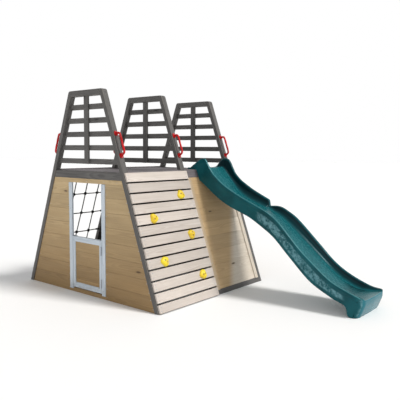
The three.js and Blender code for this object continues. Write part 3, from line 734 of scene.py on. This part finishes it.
# ---- doorway ----
DOOR_TOP = 557
sill = Piece()
sill.block((-JAMB_OUTER, JAMB_OUTER), (CLAD_BACK, 36), (0, 30), X, Z)
sill.block((-216.7, 216.7), (CLAD_BACK + 1, 35), (29.8, 40), X, Z)
sill.make("door_sill", CLAD, ending="wood")
for side, hand in SIDES:
    jamb = Piece()
    x = sorted((side * JAMB_INNER, side * JAMB_OUTER))
    jamb.block(x, (2.5, 20.4), (SILL_TOP, JAMB_TOP), Z, Y)
    jamb.block(x, (20.5, 59.5), (SILL_TOP, DOOR_TOP), Z, Y)
    if side < 0:
        # the door stop
        jamb.block((-217.5, -203), (37, 55), (42, DOOR_TOP), Z, Y, bevel=2)
    for z in (80, 330, 580, 830, 1045):
        drive_head(screws, (side * 242, 2.5, z), -Y, 4.0)
    jamb.make(f"door_jamb_{hand}", WHITE, ending="wood")

# ---- half door ----
door = Piece()
L, R, B, T, STILE, RAIL = -215, 213, 50, DOOR_TOP, 30, 46
for x in ((L, L + STILE), (R - STILE, R)):
    door.block(x, (4, 34), (B, T), Z, Y, bevel=3)
for z in ((B, B + RAIL), (T - RAIL, T)):
    door.block((L + STILE - GAP, R - STILE + GAP), (4.4, 33.6), z, X, Y, bevel=2.6)
# beads round the panel
for x0 in (L + STILE - GAP, R - STILE + GAP - 6):
    door.block((x0, x0 + 6), (8, 12.6), (B + RAIL - GAP, T - RAIL + GAP), Z, Y, bevel=1.6)
for z0 in (B + RAIL - GAP, T - RAIL + GAP - 6):
    door.block((L + STILE, R - STILE), (8, 12.6), (z0, z0 + 6), X, Y, bevel=1.6)
for x in (L + STILE / 2, R - STILE / 2):
    for z in (B + 14, B + 32, T - 14, T - 32):
        drive_head(door_screws, (x, 4, z), -Y, 3.4)
door.make("door_frame", WHITE, "door", ending="wood")
panel = Piece()
cuts = [B + RAIL + GAP, 138, 275, 412, T - RAIL - GAP]
for a, b in zip(cuts, cuts[1:]):
    panel.block((L + STILE + GAP, R - STILE - GAP), (13, 27), (a + JOINT, b - JOINT), X, Y, bevel=1.6)
    if b < cuts[-1]:
        panel.block((L + STILE + 1, R - STILE - 1), (17, 22), (b - TONGUE, b + TONGUE), X, Y, bevel=0.8)
panel.make("door_panel", CLAD, "door", ending="boards")


def knuckle(piece, z0, z1):
    r, length = 5.0, z1 - z0
    profile = [(0, 0), (r - 0.9, 0), (r - 0.3, 0.3), (r, 0.9)]
    profile += [(r, length - 0.9), (r - 0.3, length - 0.3), (r - 0.9, length), (0, length)]
    piece.lathe(profile, DOOR_HINGE + Z * z0, Z, 28)


LEAF_HALF, MIDDLE_HALF, PLATE, TAB = 40, 14, (2.6, 30), (-3, 3.6)
JAMB_LEAF, DOOR_LEAF = (215.1, 216.7), (213.3, 214.9)
for name, centre in (("upper", 457), ("lower", 146)):
    fixed, moving = Piece(), Piece()
    low, high = centre - LEAF_HALF, centre + LEAF_HALF
    fixed.block(JAMB_LEAF, PLATE, (low, high), Z, X, bevel=0.5)
    for ends in ((low, centre - MIDDLE_HALF), (centre + MIDDLE_HALF, high)):
        fixed.block(JAMB_LEAF, TAB, ends, Z, X, bevel=0.4)
        knuckle(fixed, *ends)
    for z, way in ((low, -1), (high, 1)):
        fixed.lathe([(3.4, 0), (3.4, 1.2), (2.6, 2.2), (1.2, 2.8), (0, 2.9)], DOOR_HINGE + Z * z, Z * way, 20)
    ends = (centre - MIDDLE_HALF + GAP, centre + MIDDLE_HALF - GAP)
    moving.block(DOOR_LEAF, PLATE, (low, high), Z, X, bevel=0.5)
    moving.block(DOOR_LEAF, TAB, ends, Z, X, bevel=0.4)
    knuckle(moving, *ends)
    fixed.make(f"hinge_{name}_jamb_leaf", ZINC, ending="steel")
    moving.make(f"hinge_{name}_door_leaf", ZINC, "door", ending="steel")

# ---- climbing wall ----
RIGHT_OUT, RIGHT_UP = slope_axes(1)


BOARDS, BOARD_STEP, FIRST_GAP = 13, 99.36, 86


def board_edges(i):
    """The bottom and top edge of a climbing board, up the slope from the foot."""
    bottom = FIRST_GAP + (i - 1) * BOARD_STEP + BOARD_GAP / 2 if i else 3
    top = FIRST_GAP + i * BOARD_STEP - BOARD_GAP / 2
    return bottom, bottom + BOARD_STEP - BOARD_GAP if i == BOARDS - 1 else top


for i in range(BOARDS):
    low, high = board_edges(i)
    y0, y1 = 10, 834.7
    board = Piece()
    shown_low, shown_high = low + (0.6 if i else 0), high - 0.6
    sides = ((GAP, shown_low), (BOARD_FACE, shown_low), (BOARD_FACE, shown_high), (GAP, shown_high))
    face = [on_slope(1, n, y0, s) for n, s in sides]
    # painted shade on the board's back and its edges, the top edge too
    shaded = [-RIGHT_OUT, -RIGHT_UP] + ([RIGHT_UP] if i < BOARDS - 1 else [])
    board.prism(face, (0, y1 - y0, 0), along=Y, through=RIGHT_OUT, bevel=2.4, segments=3, inside=shaded)
    name = f"climbing_board_{i + 1:02d}"
    board.make(name, ([pale_wood, inner_shade_wood], "pale_wood"), ending="wood")
    for y in (34, 806):
        for s in (low + 0.27 * (high - low), low + 0.73 * (high - low)):
            drive_head(screws, on_slope(1, BOARD_FACE, y + rng.uniform(-3, 3), s), RIGHT_OUT, 4.4)


# ---- climbing holds ----
BOLT_PLACES = ((-15, 2), (15, -3))


def hold_point(turn, share, style):
    """A lumpy dome on the board: its place across the board and its height off it."""
    lobe = 0.96 + 0.08 * math.cos(3 * turn + style) + 0.04 * math.cos(5 * turn + 2.1 * style)
    radius = 47 * lobe
    flat = share * radius
    a, b = flat * math.cos(turn), flat * math.sin(turn)
    dome = max(0.0, 1 - share**3.0) ** 0.55
    height = 34 * dome * (0.84 + 0.12 * math.cos(turn - style))
    height += 2.0 * math.sin(a / 7 + style) * dome * (1 - dome)
    # a scooped finger edge along one side
    edge = math.exp(-(((a * math.cos(style) + b * math.sin(style) - 26) / 11) ** 2))
    height -= 7 * edge * dome
    worn = 0.0
    for cx, cy in BOLT_PLACES:
        d = math.hypot(a - cx, b - cy)
        well = 1 / (1 + math.exp((d - 9) * 2.6))
        height = height * (1 - well) + min(height, 14) * well
        worn = max(worn, math.exp(-((d - 10) ** 2) / 6))
    return a, b, height, worn


for k, (board_index, y) in enumerate(zip((2, 4, 6, 8, 10), (672, 214, 659, 215, 652))):
    low, high = board_edges(board_index)
    centre = on_slope(1, BOARD_FACE + GAP, y, (low + high) / 2)
    spin = 0.9 * k
    u = RIGHT_UP * math.cos(spin) + Y * math.sin(spin)
    v = RIGHT_OUT.cross(u)
    hold, bolts = Piece(), Piece()
    sides, rings = 108, 50
    points, faces, worn = [], [], []
    for i in range(rings + 1):
        share = max(0.002, math.sin(math.pi / 2 * i / rings) ** 0.9)
        for turn in turns(sides):
            a, b, h, w = hold_point(turn, share, 0.7 + 1.3 * k)
            if i == rings:
                h = 0.0
            points.append(centre + v * a + u * b + RIGHT_OUT * h)
            worn.append(min(1.0, w + 0.5 * share**6))
    for i in range(rings):
        for j in range(sides):
            p, q = i * sides + j, i * sides + (j + 1) % sides
            faces.append([p, p + sides, q + sides, q])
    faces.append([rings * sides + j for j in range(sides)])
    faces.append(list(range(sides))[::-1])
    hold.add(points, faces, [True] * (len(faces) - 2) + [False, False], edge=worn)
    hold.make(f"climbing_hold_{k + 1}", ([yellow_plastic], "yellow_plastic"), ending="resin")
    for cx, cy in BOLT_PLACES:
        seat = centre + v * cx + u * cy + RIGHT_OUT * 13.5
        drive_head(bolts, seat, RIGHT_OUT, 6.6, 4.2, "hexagon", 36)
    bolts.make(f"climbing_hold_{k + 1}_bolts", ZINC)

# ---- cargo net ----
LEFT_OUT, LEFT_UP = slope_axes(-1)
ROPE_RADIUS, LAY = 6.0, 34.0
NET_Y, NET_Z = (311, 465, 628), (928, 709, 489, 270)


def up_slope(z, n):
    return (z - n * math.sin(LEAN)) / math.cos(LEAN)


def twists(path, lay, sides):
    """For each step of a path, how far the strands have turned at each side, and the run so far."""
    run = 0.0
    for i, place in enumerate(path):
        run += (place - path[i - 1]).length if i else 0.0
        yield run, [t - 2 * math.pi * run / lay for t in turns(sides)]


def lay_rope(piece, path, radius=ROPE_RADIUS, lay=LAY, sides=18, closed=False):
    """Three strands laid up together: the section turns as it goes along."""

    def section(i, s):
        made = []
        for t in turns(sides):
            r = radius * (0.72 + 0.28 * abs(math.cos(1.5 * (t - 2 * math.pi * s / lay))) ** 0.7)
            made.append((r * math.cos(t), r * math.sin(t)))
        return made

    crown, grain = [], []
    for run, angles in twists(path, lay, sides):
        crown += [abs(math.cos(1.5 * turn)) ** 2 for turn in angles]
        grain += [(run / 1000, turn * 0.01, 0.0) for turn in angles]
    # an open rope has a point more at each end, for its cap
    ends = 0 if closed else 2
    piece.sweep(path, section, closed, edge=crown + [0] * ends, grain=grain + [(0, 0, 0)] * ends)


def ferrule(piece, place, axis, length=40, radius=10):
    profile = [(0, 0), (radius - 2, 0), (radius - 0.6, 0.6), (radius, 2), (radius, 8), (radius - 1.2, 9.4)]
    profile += [(radius - 1.2, 12), (radius, 13.4), (radius, length - 3), (radius - 1, length - 1)]
    piece.lathe([*profile, (6.4, length), (0, length)], place, axis, 26)


def sway(s, k):
    """How far rope k up the slope has drifted sideways at s."""
    return 2.0 * math.sin(s / 130 + 2 * k)


def shares(length):
    """Steps of about 3.4 mm along a rope, as shares of its length."""
    count = int(length / 3.4)
    return [i / count for i in range(count + 1)]


NET_IN, KNOT_STEPS = -22, 96
net, fittings = Piece(), Piece()
y0, y1 = between_frames("front")
net_low, net_high = up_slope(48, NET_IN) + 1, up_slope(1130, NET_IN) - 1
for k, y in enumerate(NET_Y):
    path = []
    for share in shares(net_high - net_low):
        s = net_low + (net_high - net_low) * share
        path.append(on_slope(-1, NET_IN + 1.2 * math.sin(s / 90 + k), y + sway(s, k), s))
    lay_rope(net, path)
    ferrule(fittings, on_slope(-1, NET_IN, y, net_low - 0.6), LEFT_UP, 30)
    ferrule(fittings, on_slope(-1, NET_IN, y, net_high + 0.6), -LEFT_UP, 30)
for k, z in enumerate(NET_Z):
    s = up_slope(z, NET_IN)
    path = []
    for share in shares(y1 - y0):
        y = y0 + (y1 - y0) * share
        path.append(on_slope(-1, NET_IN + 1.5 * math.sin(y / 60 + k), y, s - 3.0 * math.sin(math.pi * share)))
    lay_rope(net, path)
    ferrule(fittings, on_slope(-1, NET_IN, y0, s), Y)
    ferrule(fittings, on_slope(-1, NET_IN, y1, s), -Y)
    for j, y in enumerate(NET_Y):
        # an overhand knot round the crossing
        centre = on_slope(-1, NET_IN, y + sway(s, j), s - 2.5)
        turn = Matrix.Rotation(0.7 * (j + k), 3, LEFT_OUT)
        loop = []
        for t in turns(KNOT_STEPS):
            r = 9.6 + 4.8 * math.cos(3 * t)
            flat = Y * (r * math.cos(2 * t)) + LEFT_UP * (r * math.sin(2 * t))
            loop.append(centre + turn @ (flat + LEFT_OUT * (6.2 * math.sin(3 * t))))
        length = sum((loop[i] - loop[i - 1]).length for i in range(KNOT_STEPS))
        lay_rope(net, loop, 5.9, length / round(length / LAY), 14, closed=True)
net.make("cargo_net", ([black_rope], "black_rope"), ending="rope")
fittings.make("cargo_net_ferrules", ([black_fitting], "black_rope"))

# ---- grab handles ----
HANDLE_LOW, HANDLE_HIGH, REACH, GRIP_SIDES, PAD_RADIUS = 1442, 1647, 54, 24, 21


def grip(share):
    """The bow's section: finger swells along its middle, and a flare at both ends."""
    swell = 0.6 * math.cos(share * 14 * math.pi) * (0.22 < share < 0.78)
    flare = 4 * (math.exp(-share * 16) + math.exp(-(1 - share) * 16))
    return circle(9.8 + swell + flare, GRIP_SIDES)


for i, name in enumerate(FRAMES):
    # the rear frame has no handle on its left
    for side, hand in SIDES[i == 2 :]:
        out, up = slope_axes(side)
        y = i * PITCH + DEPTH / 2
        low, high, middle = HANDLE_LOW, HANDLE_HIGH, (HANDLE_LOW + HANDLE_HIGH) / 2
        ends = [(4, low), (0.7 * REACH, low + 5), (0.98 * REACH, low + 26), (REACH, middle)]
        ends += [(0.98 * REACH, high - 26), (0.7 * REACH, high - 5), (4, high)]
        path = catmull([on_slope(side, n, y, s) for n, s in ends], 12)
        bow = Piece()
        last = len(path) - 1
        bow.sweep(path, lambda step, s: grip(step / last), edge=[0.35] * ((last + 1) * GRIP_SIDES + 2))
        for s, way in ((low, -1), (high, 1)):
            outline = []
            for a, b in circle(PAD_RADIUS, GRIP_SIDES):
                stretch = 7 * way if b * way > 0 else 0
                outline.append(on_slope(side, 0.4, y + a, s + b + stretch))
            bow.prism(outline, out * 9, along=up, through=out, bevel=3.2)
            drive_head(screws, on_slope(side, 9.3, y, s + way * 19.5), out, 3.8)
        bow.make(f"grab_handle_{name}_{hand}", ([red_plastic], "red_plastic"), ending="plastic")

# ---- wave slide ----
SLIDE_NEAR, SLIDE_FAR, WALL, FILLET, CORNER = 1010, 1500, 26, 78, 60
SLIDE_START, SLIDE_END, NOSE_LIP = 404, 2300, 11.0


def line_of(points, steps=10):
    """A smooth curve through (x, z) points, as a function of x."""
    smooth = catmull([(x, 0, z) for x, z in points], steps)
    xs, zs = [p.x for p in smooth], [p.z for p in smooth]
    return lambda x: float(np.interp(x, xs, zs))


near_rim = line_of(
    [(404, 1212), (430, 1226), (488, 1264), (541, 1301), (590, 1323), (630, 1318), (674, 1258), (713, 1198),
     (765, 1144), (879, 1059), (1063, 966), (1296, 870), (1409, 813), (1519, 734), (1711, 542), (1834, 436),
     (2032, 287), (2218, 209), (2316, 171)]
)
far_upper = line_of(
    [(404, 1214), (425, 1236), (455, 1272), (495, 1310), (540, 1322), (580, 1313), (606, 1288), (640, 1228),
     (680, 1162), (745, 1100), (795, 1066), (925, 992), (1113, 906), (1200, 868)]
)
far_lower = line_of(
    [(1060, 838), (1132, 842), (1246, 843), (1352, 797), (1467, 721), (1692, 515), (1854, 365), (2009, 267),
     (2205, 188), (2316, 171)]
)
bed_line = line_of(
    [(404, 1225), (470, 1225), (522, 1225), (556, 1200), (590, 1162), (652, 1096), (760, 990), (882, 918),
     (1006, 866), (1184, 800), (1307, 747), (1459, 634), (1639, 480), (1876, 282), (2079, 172), (2200, 150),
     (2300, 160)]
)
under_line = line_of(
    [(597, 1081), (690, 1014), (768, 958), (882, 889), (1006, 836), (1184, 770), (1334, 688), (1468, 599),
     (1631, 444), (1840, 255), (2036, 150), (2130, 114), (2177, 97)]
)


def smooth_step(x, a, b):
    t = min(1.0, max(0.0, (x - a) / (b - a)))
    return t * t * (3 - 2 * t)


def far_rim(x):
    t = smooth_step(x, 1113, 1131)
    return far_upper(x) * (1 - t) + far_lower(x) * t


def underside(x):
    if x < 597:
        return float(np.interp(x, [404, 521, 549, 566, 597], [1209.6, 1209.6, 1142, 1098, 1081]))
    if x < 2177:
        return under_line(x)
    return float(np.interp(x, [2177, 2195, 2200, 2211, 2234], [97, 74, 40, 10, 0]))


def bow_at(y):
    """How far the end of the slide stands out in plan: nearly flat, with round corners."""
    side = min(y - SLIDE_NEAR, SLIDE_FAR - y)
    share = min(1.0, 2 * side / (SLIDE_FAR - SLIDE_NEAR))
    corner = CORNER - min(CORNER, side)
    return math.sqrt(max(0.0, CORNER**2 - corner**2)) - 24 + 5 * share


bubble_rng = random.Random(11)
BUBBLES = []
for _ in range(400):
    x = bubble_rng.uniform(1270, 2080)
    share = bubble_rng.uniform(0.2, 0.8)
    r = bubble_rng.uniform(6, 19)
    z = underside(x) + share * (near_rim(x) - 34 - underside(x))
    if all(math.hypot(x - a, z - b) > r + q + 3 for a, b, q in BUBBLES):
        BUBBLES.append((x, z, r))


def bubbles(x, z):
    """How far the embossed bubbles stand off the outer wall."""
    rise = 0.0
    for a, b, r in BUBBLES:
        d = math.hypot(x - a, z - b) / r
        if d < 1:
            rise = max(rise, 3.4 * min(1.0, (1 - d) * 3.2) * (0.72 + 0.28 * d))
    return rise


def fillet_at(x):
    """The radius between bed and wall: small at the head, full from x = 900."""
    return 26 + (FILLET - 26) * smooth_step(x, 600, 900)


def wall_side(x, y_out, way, rim, bed, under):
    """Points up the outside of one wall, over its rim and down to the bed: (y, z, bed share, wall share). A
    bed share of 2 marks the near rim's painted highlight; a negative wall share is painted shade on the far
    inner wall.
    """
    made = []
    radius = WALL / 2
    top = rim - radius
    panel = 4.5
    lip = max(under + 6, top - 16)
    flute = 34 if way > 0 else 12
    for k in range(flute + 1):
        z = under + (lip - under) * k / flute
        inset = panel * smooth_step(z, under, under + 10) * (1 - smooth_step(z, lip - 8, lip))
        deep = smooth_step(rim - under, 60, 110)
        rise = bubbles(x, z) if way > 0 and 1240 < x < 2100 else 0.0
        mark = smooth_step(x, 1230, 1330) * (1 - smooth_step(x, 2110, 2200)) if way > 0 else 0.0
        mark *= smooth_step(z, under + 20, under + 45) * (1 - smooth_step(z, lip - 30, lip - 8))
        made.append((y_out + way * (inset * deep - rise * 0.95), z, 0.0, mark))
    for k in range(1, 4):
        made.append((y_out, lip + (top - lip) * k / 3, 0.0, 0.0))
    for k in range(1, 11):
        t = math.pi * k / 10
        # painted highlight: the near rim's crest is marked lighter, like a lit edge
        rim_highlight = 2.0 if way > 0 and 4 <= k <= 6 else 0.0
        made.append((y_out + way * (radius - radius * math.cos(t)), top + radius * math.sin(t), rim_highlight, 0.0))
    depth = max(rim - bed, 1.0)
    squash = min(1.0, depth / (radius + fillet_at(x)))
    fillet = fillet_at(x) * squash
    start, y_in = top, y_out + way * WALL
    if squash < 1:
        # where the wall has almost run out, its round top sinks into the bed
        made = [(a, max(b, bed) if j > flute + 8 else b, c, d) for j, (a, b, c, d) in enumerate(made)]
        start = max(top, bed + fillet)
    # painted shade: the far wall's inner face is darkened where it stands well above the bed
    shade = -smooth_step(rim - bed, 12, 60) if way < 0 else 0.0
    for k in range(1, 7):
        z = start + (bed + fillet - start) * k / 6
        made.append((y_in + way * k, max(z, bed), 0.0, shade))
    for k in range(1, 9):
        t = math.pi / 2 * k / 8
        across = 6 + fillet - fillet * math.cos(t)
        up = bed + fillet - fillet * math.sin(t)
        made.append((y_in + way * across, max(bed, up), (k / 8) ** 3, shade * (1 - (k / 8) ** 2)))
    return made


def slide_section(x):
    bed = bed_line(x)
    near, far, under = near_rim(x), far_rim(x), min(underside(x), bed - 15)
    near, far = max(near, bed + 2), max(far, bed + 2)
    left = wall_side(x, SLIDE_NEAR, 1, near, bed, under)
    right = wall_side(x, SLIDE_FAR, -1, far, bed, under)[::-1]
    a, b = left[-1][0], right[0][0]
    middle = []
    # painted shadow of the far wall: the bed darkens towards the far side, and most in the bottom of the last
    # curve
    bed_shadow = smooth_step(x, 1980, 2110) * (1 - smooth_step(x, 2170, 2260))
    for k in range(1, 24):
        t = k / 24
        shade = -0.3 * smooth_step(t, 0.6, 1.0) - 0.6 * bed_shadow * (0.35 + 0.65 * t)
        middle.append((a + (b - a) * t, bed - 2.5 * (1 - (2 * t - 1) ** 2), 1.0, shade))
    upper = left + middle + right
    nose = smooth_step(x, 2190, 2236)
    roof = (bed - 14) * (1 - nose) + under * nose
    roof = max(roof, under + 0.2)
    lower = []
    count = len(upper)
    for k in range(count):
        t = k / (count - 1)
        if t < 0.05:
            lower.append((SLIDE_FAR - WALL * t / 0.05, under))
        elif t < 0.2:
            lower.append((SLIDE_FAR - WALL, under + (roof - under) * (t - 0.05) / 0.15))
        elif t < 0.8:
            lower.append((SLIDE_FAR - WALL - (SLIDE_FAR - SLIDE_NEAR - 2 * WALL) * (t - 0.2) / 0.6, roof))
        elif t < 0.95:
            lower.append((SLIDE_NEAR + WALL, roof + (under - roof) * (t - 0.8) / 0.15))
        else:
            lower.append((SLIDE_NEAR + WALL * (1 - t) / 0.05, under))
    return upper, [(y, z, 0.0, 0.0) for y, z in lower]


def smooth_inside(y):
    """From 0 at the slide's two sides to 1 over the first 30 mm."""
    return smooth_step(min(y - SLIDE_NEAR, SLIDE_FAR - y), 0, 30)


def undercut(z):
    """How far the foot draws back towards the ground."""
    return 46 * (1 - min(1.0, z / 120)) ** 1.2


# closer cross-sections where the shape changes quickly
stations = []
for first, end, pitch in (
    (SLIDE_START, 640, 6), (640, 1105, 9), (1105, 1138, 2.5), (1140, 1270, 9), (1270, 2110, 4.5),
    (2112, SLIDE_END, 6), (SLIDE_END, SLIDE_END + 1, 6),
):
    stations += list(np.arange(first, end, pitch))
slide = Piece()
points, marks, walls, arc = [], [], [], []


def skin(point, mark, wall, along):
    """Adds a point of the slide's skin, and returns its number."""
    points.append(Vector(point))
    marks.append(mark)
    walls.append(wall)
    arc.append((along / 1000, point[1] / 1000, point[2] / 1000))
    return len(points) - 1


run, last = 0.0, None
for x in stations:
    upper, lower = slide_section(x)
    ring = upper + lower
    here = Vector((x, 0, bed_line(x)))
    run += (here - last).length if last else 0.0
    last = here
    warp = smooth_step(x, 2200, SLIDE_END)
    for y, z, bed_share, wall_share in ring:
        drawn = undercut(z) * smooth_step(x, 2262, SLIDE_END)
        skin((x + bow_at(y) * warp - drawn, y, z), bed_share, wall_share, run)
n = len(ring)
half_count = len(upper)
faces = []
for i in range(len(stations) - 1):
    a, b = i * n, (i + 1) * n
    faces += [[a + j, b + j, b + (j + 1) % n, a + (j + 1) % n] for j in range(n)]


def nose_highlight(y):
    """The tone that the slide's material reads as its nose: painted light that makes the front face lighter.
    """
    return 2.0 * smooth_step(y, SLIDE_NEAR + 6, SLIDE_NEAR + 30)


def cap(base, flip, lip=0.0):
    """Closes an end: an optional rounded lip, then rows from the upper side to the lower side."""
    ring_now = [points[base + j] for j in range(n)]
    previous = list(range(base, base + n))
    if lip:
        z_top = max(p.z for p in ring_now)
        for k in range(1, 7):
            t = math.pi / 2 * k / 6
            inset, ahead_most = lip * (1 - math.cos(t)), lip * math.sin(t)
            now = []
            for j in range(n):
                p, upper_side = ring_now[j], j < half_count
                ahead = ahead_most * smooth_inside(p.y)
                z = min(max(p.z, inset * 0.5), z_top - inset if upper_side else math.inf)
                # painted highlight along the lip's top edge
                mark = 1.7 if k < 4 and upper_side else 0.0
                now.append(skin((p.x + ahead * 0.55, p.y, z), mark, nose_highlight(p.y) * k / 6, run + ahead))
            for j in range(n):
                q = (j + 1) % n
                faces.append([previous[j], now[j], now[q], previous[q]])
            previous = now
    rows = 10
    grid = []
    for j in range(half_count):
        a, b = previous[j], previous[n - 1 - j]
        line = [a]
        for k in range(1, rows):
            t = k / rows
            m = points[a].lerp(points[b], t)
            if lip:
                m.x = SLIDE_END + bow_at(m.y) + lip * smooth_inside(m.y) * 0.55 - undercut(m.z)
            line.append(skin(m, 0.0, nose_highlight(m.y) if lip else 0.0, m.x))
        line.append(b)
        grid.append(line)
    for j in range(half_count - 1):
        for k in range(rows):
            quad = [grid[j][k], grid[j][k + 1], grid[j + 1][k + 1], grid[j + 1][k]]
            faces.append(quad[::-1] if flip else quad)


cap(0, True)
cap((len(stations) - 1) * n, False, NOSE_LIP)
slide.add(points, faces, True, grain=arc, edge=marks, tone=walls)
slide_shown = slide.make("wave_slide", ([green_plastic], "green_plastic"), ending="shell")
bm = bmesh.new()
bm.from_mesh(slide_shown.data)
bmesh.ops.dissolve_degenerate(bm, dist=1e-6, edges=bm.edges)
bmesh.ops.recalc_face_normals(bm, faces=bm.faces)
bm.to_mesh(slide_shown.data)
bm.free()

bolts = Piece()
for y in (1075, 1190, 1320, 1435):
    bolts.lathe([(13, 0), (13, 1.4), (12.4, 2.0), (0, 2.0)], (458, y, 1222.6), Z, 32)
    drive_head(bolts, (458, y, 1224.6), Z, 7.5, 3.6, "hexagon", 32)
bolts.make("slide_bolts", ZINC)

screws.make("structure_screws", ZINC)
dark_screws.make("stained_timber_screws", ([dark_steel], "zinc"))
door_screws.make("door_screws", ZINC, "door")


# ---- floor, light and camera ----
def stage_floor():
    s = Shader("pale floor")
    g = s.place()
    base = s.mix(s.noise(g, 0.6, 3.0), "#fdfdfd", "#fbfbfb")
    floor_material = s.finish(base, 0.75)
    mesh = bpy.data.meshes.new("floor")
    reach = 60
    corners = [(-reach, -reach, 0), (reach, -reach, 0), (reach, reach, 0), (-reach, reach, 0)]
    mesh.from_pydata(corners, [], [[0, 1, 2, 3]])
    mesh.materials.append(floor_material)
    obj = bpy.data.objects.new("floor", mesh)
    bpy.context.scene.collection.objects.link(obj)
    obj.location.z = -0.0008


def sun(name, azimuth, elevation, strength, softness, tint):
    data = bpy.data.lights.new(name, "SUN")
    data.energy, data.angle, data.color = strength, math.radians(softness), tint
    obj = bpy.data.objects.new(name, data)
    a, e = math.radians(azimuth), math.radians(elevation)
    toward = Vector((math.cos(a) * math.cos(e), math.sin(a) * math.cos(e), math.sin(e)))
    obj.rotation_euler = toward.to_track_quat("Z", "Y").to_euler()
    bpy.context.scene.collection.objects.link(obj)


stage_floor()
sun("key light", 17, 50, 2.5, 15, (1.0, 0.985, 0.96))
sun("fill light", -70, 30, 0.4, 50, (0.95, 0.975, 1.0))

world = bpy.data.worlds.new("studio")
bpy.context.scene.world = world
world.use_nodes = True
w = Nodes(world.node_tree)
# the backdrop side of the room is white near the horizon, the rest is dimmer
toward = w.node("TexCoord", output="Generated")
facing = w.node("VectorMath", {0: toward, 1: (-0.63, 0.77, 0.0)}, output="Value", operation="DOT_PRODUCT")
horizon = w.ramp(facing, -0.2, 0.5, 0.6, 1.0)
light = w.ramp(w.split(toward, 2), 0.26, 0.6, horizon, 0.34)
background = w.tree.nodes["Background"]
background.inputs["Color"].default_value = (1, 1, 1, 1)
w.put(background.inputs["Strength"], light)

camera_data = bpy.data.cameras.new("camera")
camera_data.lens, camera_data.sensor_width = 47.6, 36
camera = bpy.data.objects.new("camera", camera_data)
bpy.context.scene.collection.objects.link(camera)
bpy.context.scene.camera = camera
yaw, pitch, roll = 0.6890, 0.0935, 0.0081
forward = Vector((-math.sin(yaw) * math.cos(pitch), math.cos(yaw) * math.cos(pitch), -math.sin(pitch)))
level = Vector((math.cos(yaw), math.sin(yaw), 0))
upright = level.cross(forward)
side_axis = level * math.cos(roll) + upright * math.sin(roll)
up_axis = upright * math.cos(roll) - level * math.sin(roll)
turn = Matrix((side_axis, up_axis, -forward)).transposed().to_4x4()
camera.matrix_world = Matrix.Translation(row((4025.7, -3179.0, 1404.5))) @ turn

view = bpy.context.scene.view_settings
view.view_transform = "Standard"
view.look = "None"
